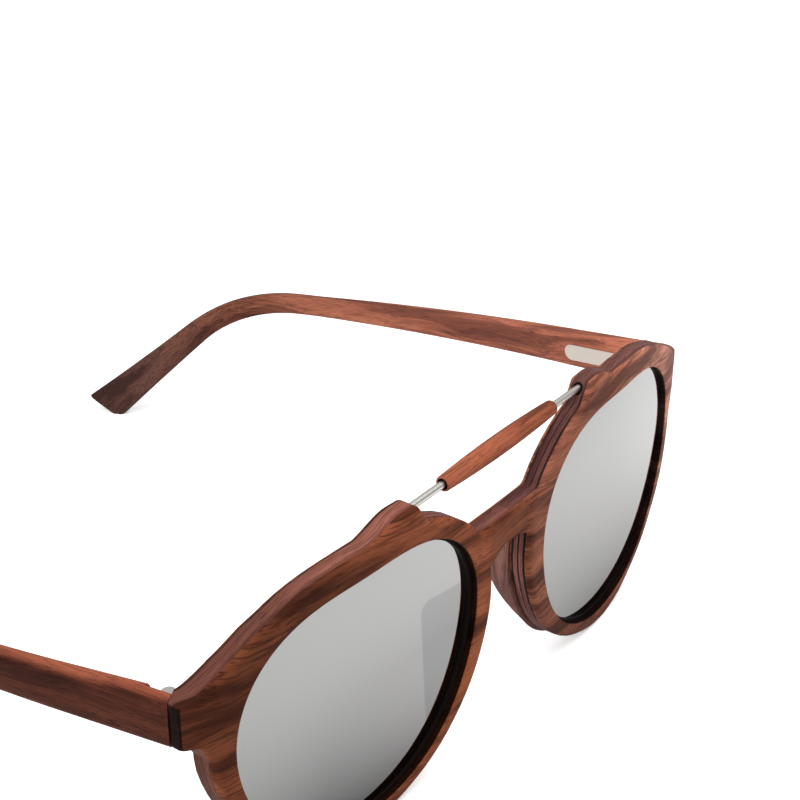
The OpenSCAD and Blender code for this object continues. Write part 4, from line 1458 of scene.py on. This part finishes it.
    def build(self, side: Side) -> bpy.types.Object:
        """Builds one temple.

        The section is lofted from the mitre to the cut tip, with a step behind the knuckle and a cap at
        each end.

        Args:
            side: which side.

        Returns:
            The finished temple.
        """
        f, t = self.front, self.z
        q = 2 * math.pi * (np.arange(self.RING) + 0.5) / self.RING
        first, last = self.start_s(q), self.end_s(q)
        cut, tail = t.relief_y / math.cos(self.slope), self.straight + self.bend_l + t.tail
        ramps = ((first, cut - t.relief_step, 6, 0), (cut + t.relief_step, self.straight, 50, 0),
                 (self.straight, tail, 44, 1), (tail, last, 30, 1))
        s = np.concatenate([np.linspace(a + 0 * q, b + 0 * q, rows)[skip:] for a, b, rows, skip in ramps])
        ring = np.broadcast_to(q, s.shape)
        p = self.points(s.ravel(), ring.ravel()).reshape(*s.shape, 3)
        p[..., 0] = np.where(s < cut, np.maximum(p[..., 0], f.axis_x + t.relief_x), p[..., 0])
        grain = np.stack([s * 0.8 + 500.0 * side.value, p[..., 2] - self.path(s)[1], p[..., 0]], -1)
        shade = self.tone(side, s, fade(np.cos(ring), 0, 1 / 1.6))
        p = (p - np.array([0.0, f.mid_y, 0.0])) * side.flip
        rows, n = s.shape
        half = np.arange(n // 2 - 1)
        cap = np.stack([half, half + 1, n - 2 - half, n - 1 - half], -1)
        faces = np.concatenate([grid_faces(rows, n, False, True), cap, cap + (rows - 1) * n])
        obj = build_mesh(f"temple_{side.word}_wood", p.reshape(-1, 3), faces, 50.0,
                         {"grain": grain.reshape(-1, 3), "shade": shade.reshape(-1, 3)})
        soften(obj, t.soft, 3, 50)
        return self.finishes.dress(obj, "Temple wood", f"temple_{side.word}", f"temple_{side.word}")


@dataclass(frozen=True)
class Metal:
    """One kind of metal piece: the body that it rides on, its finish and the width of its soft edges."""

    body: str
    finish: str
    soft: float = 0.0


class Hinges:
    """The metal pieces of both hinges."""

    KINDS = {
        "hinge_leaf": Metal("front", "Hinge steel", 0.1),
        "hinge_screw": Metal("front", "Screw steel", 0.1),
        "hinge_case": Metal("temple", "Hinge steel", 0.5),
        "case_pins": Metal("temple", "Hinge steel"),
        "slider": Metal("slide", "Screw steel"),
        "spring": Metal("temple", "Spring steel"),
        "spring_nut": Metal("slide", "Screw steel"),
    }
    SPRING_L = 5.2
    SPRING_KEEP = 0.68

    def __init__(self, finishes: Finishes) -> None:
        """Args: finishes: the materials."""
        self.finishes = finishes

    def piece(self, node: str, metal: Metal, body: str) -> bpy.types.Object:
        """Copies a CAD node with softened edges.

        Args:
            node: name of the node.
            metal: what kind of piece it is.
            body: the body that it rides on.

        Returns:
            The new piece.
        """
        verts, faces = node_arrays(node)
        obj = build_mesh(node + "_metal", verts, faces, 30.0)
        if metal.soft:
            soften(obj, metal.soft, 2, 40)
        return self.finishes.dress(obj, metal.finish, node, body)

    def squeeze(self, obj: bpy.types.Object, side: Side) -> None:
        """Gives a spring its own copy of its mesh.

        The middles of the spring and of its nut are found, but the spring is not shortened.

        Args:
            obj: the spring.
            side: which side.
        """
        spring, nut = (node_arrays(f"{kind}_{side.word}")[0].mean(0) for kind in ("spring", "spring_nut"))
        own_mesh(obj)

    def build(self) -> None:
        """Builds every metal piece."""
        for side in Side:
            for kind, metal in self.KINDS.items():
                body = metal.body if metal.body == "front" else f"{metal.body}_{side.word}"
                obj = self.piece(f"{kind}_{side.word}", metal, body)
                if kind == "spring":
                    self.squeeze(obj, side)
        self.piece("leaf_screws", Metal("front", "Screw steel"), "front")


@dataclass(frozen=True)
class CameraSizes:
    """The camera that was recovered from the photograph, in millimetres and degrees."""

    eye: tuple[float, float, float] = (-192.106, -219.185, 167.338)
    azimuth: float = -50.5098
    elevation: float = 24.3390
    roll: float = -5.6891
    lens: float = 76.887


class Stage:
    """Floor, light and camera."""

    FLOOR_HALF = 4000.0
    LAMPS = (("Key", (0.03, -0.2, 0.3), 0.22, 0.55), ("Top", (-0.25, -0.1, 0.6), 0.5, 0.9),
             ("Side", (-0.45, 0.1, 0.22), 0.3, 1.3))

    def floor(self) -> None:
        """Makes the pale floor, which the camera sees brighter than the light makes it."""
        square = np.array([[-1, -1, 0], [1, -1, 0], [1, 1, 0], [-1, 1, 0]]) * self.FLOOR_HALF
        obj = build_mesh("floor", square, np.array([[0, 1, 2, 3]]))
        mat, t = new_material("Floor")
        path = t.add("ShaderNodeLightPath").outputs
        # Painted reflection: the grey corner is seen by glossy rays only.
        painted_panel = t.math("MULTIPLY", self.painted_panel(t), path["Is Glossy Ray"])
        t.surface({"Base Color": t.mix(painted_panel, (0.86, 0.86, 0.86, 1), (0.7, 0.7, 0.71, 1)), "Roughness": 0.9,
                   "Specular IOR Level": 0.0, "Emission Color": (1, 1, 1, 1),
                   "Emission Strength": t.math("MULTIPLY", path["Is Camera Ray"], 0.45)})
        obj.data.materials.append(mat)

    @staticmethod
    def painted_panel(t: Tree) -> bpy.types.NodeSocket:
        """Mask of a painted reflection: the greyer corner of the floor that only mirrors see, a dark panel in
        the lenses.

        The mask is 1 inside the edges x + y = -94.3 mm and y = 0.19 x - 106.2 mm, which meet in a
        rounded corner. It fades out where x goes from 24 to 30 mm.

        Args:
            t: the floor's node tree.

        Returns:
            The mask.
        """
        where = t.add("ShaderNodeTexCoord").outputs["Object"]
        part = t.add("ShaderNodeSeparateXYZ", {0: where}).outputs
        x, y = (t.math("DIVIDE", part[k], MM) for k in (0, 1))
        radius = 3.0
        first = t.math("MULTIPLY_ADD", t.math("ADD", x, y), 0.707, 94.3 * 0.707)
        second = t.math("ADD", t.math("MULTIPLY_ADD", x, -0.19, y), 106.2)
        short = [t.math("MAXIMUM", t.math("SUBTRACT", radius, v), 0.0) for v in (first, second)]
        inside = t.ramp(t.math("SUBTRACT", radius, t.length(*short)), 0.0, 0.5)
        return t.math("MULTIPLY", inside, t.math("SUBTRACT", 1.0, t.ramp(x, 24.0, 30.0)))

    def lights(self) -> None:
        """Makes the surroundings and the lamps.

        The surroundings are white to the camera, and light the part more from above than from the side.
        """
        world = bpy.data.worlds.new("Studio")
        world.use_nodes = True
        back = world.node_tree.nodes["Background"]
        back.inputs[0].default_value = (1, 1, 1, 1)
        t = Tree(world.node_tree)
        path = t.add("ShaderNodeLightPath")
        where = t.add("ShaderNodeTexCoord").outputs["Generated"]
        height = t.add("ShaderNodeSeparateXYZ", {0: where}).outputs[2]
        level = t.math("MULTIPLY_ADD", t.ramp(height, 0.0, 0.8), 0.45, 0.25)
        level = t.math("MAXIMUM", level, path.outputs["Is Camera Ray"])
        world.node_tree.links.new(level, back.inputs[1])
        bpy.context.scene.world = world
        for lamp in self.LAMPS:
            self.area(*lamp)

    def area(self, name: str, place: tuple[float, float, float], size: float, power: float) -> None:
        """Makes one lamp that faces the origin.

        Args:
            name: name of the lamp.
            place: its place in metres.
            size: its width in metres.
            power: its power in watts.
        """
        data = bpy.data.lights.new(name, "AREA")
        data.size, data.energy = size, power
        obj = bpy.data.objects.new(name, data)
        back = np.array(place) / np.linalg.norm(place)
        right = np.cross([0, 0, 1], back)
        right /= np.linalg.norm(right)
        obj.matrix_world = facing(right, back, place)
        bpy.context.scene.collection.objects.link(obj)

    def camera(self, sizes: CameraSizes) -> None:
        """Makes the camera.

        It looks along its azimuth and elevation, and is then rolled about that line.

        Args:
            sizes: the recovered camera.
        """
        az, el, roll = (math.radians(v) for v in (sizes.azimuth, sizes.elevation, sizes.roll))
        back = np.array([math.sin(az) * math.cos(el), -math.cos(az) * math.cos(el), math.sin(el)])
        level = np.array([math.cos(az), math.sin(az), 0.0])
        right = math.cos(roll) * level + math.sin(roll) * np.cross(back, level)
        data = bpy.data.cameras.new("Camera")
        data.lens, data.sensor_width, data.clip_start, data.clip_end = sizes.lens, 36.0, 0.01, 50.0
        obj = bpy.data.objects.new("Camera", data)
        obj.matrix_world = facing(right, back, np.array(sizes.eye) * MM)
        bpy.context.scene.collection.objects.link(obj)
        bpy.context.scene.camera = obj

    def build(self) -> None:
        """Builds the stage."""
        self.floor()
        self.lights()
        self.camera(CameraSizes())
        bpy.context.scene.view_settings.view_transform = "Standard"
        log.info("stage: floor, %d lamps and camera", len(self.LAMPS))


def main() -> None:
    """Builds the sub-assemblies in order."""
    logging.basicConfig(level=logging.INFO)
    finishes = Finishes()
    front = FrontFrame(FrontSizes())
    Front(front, finishes).build()
    temple = Temple(front, TempleSizes(), finishes)
    for side in Side:
        temple.build(side)
    Hinges(finishes).build()
    Stage().build()


if __name__ == "__main__":
    main()
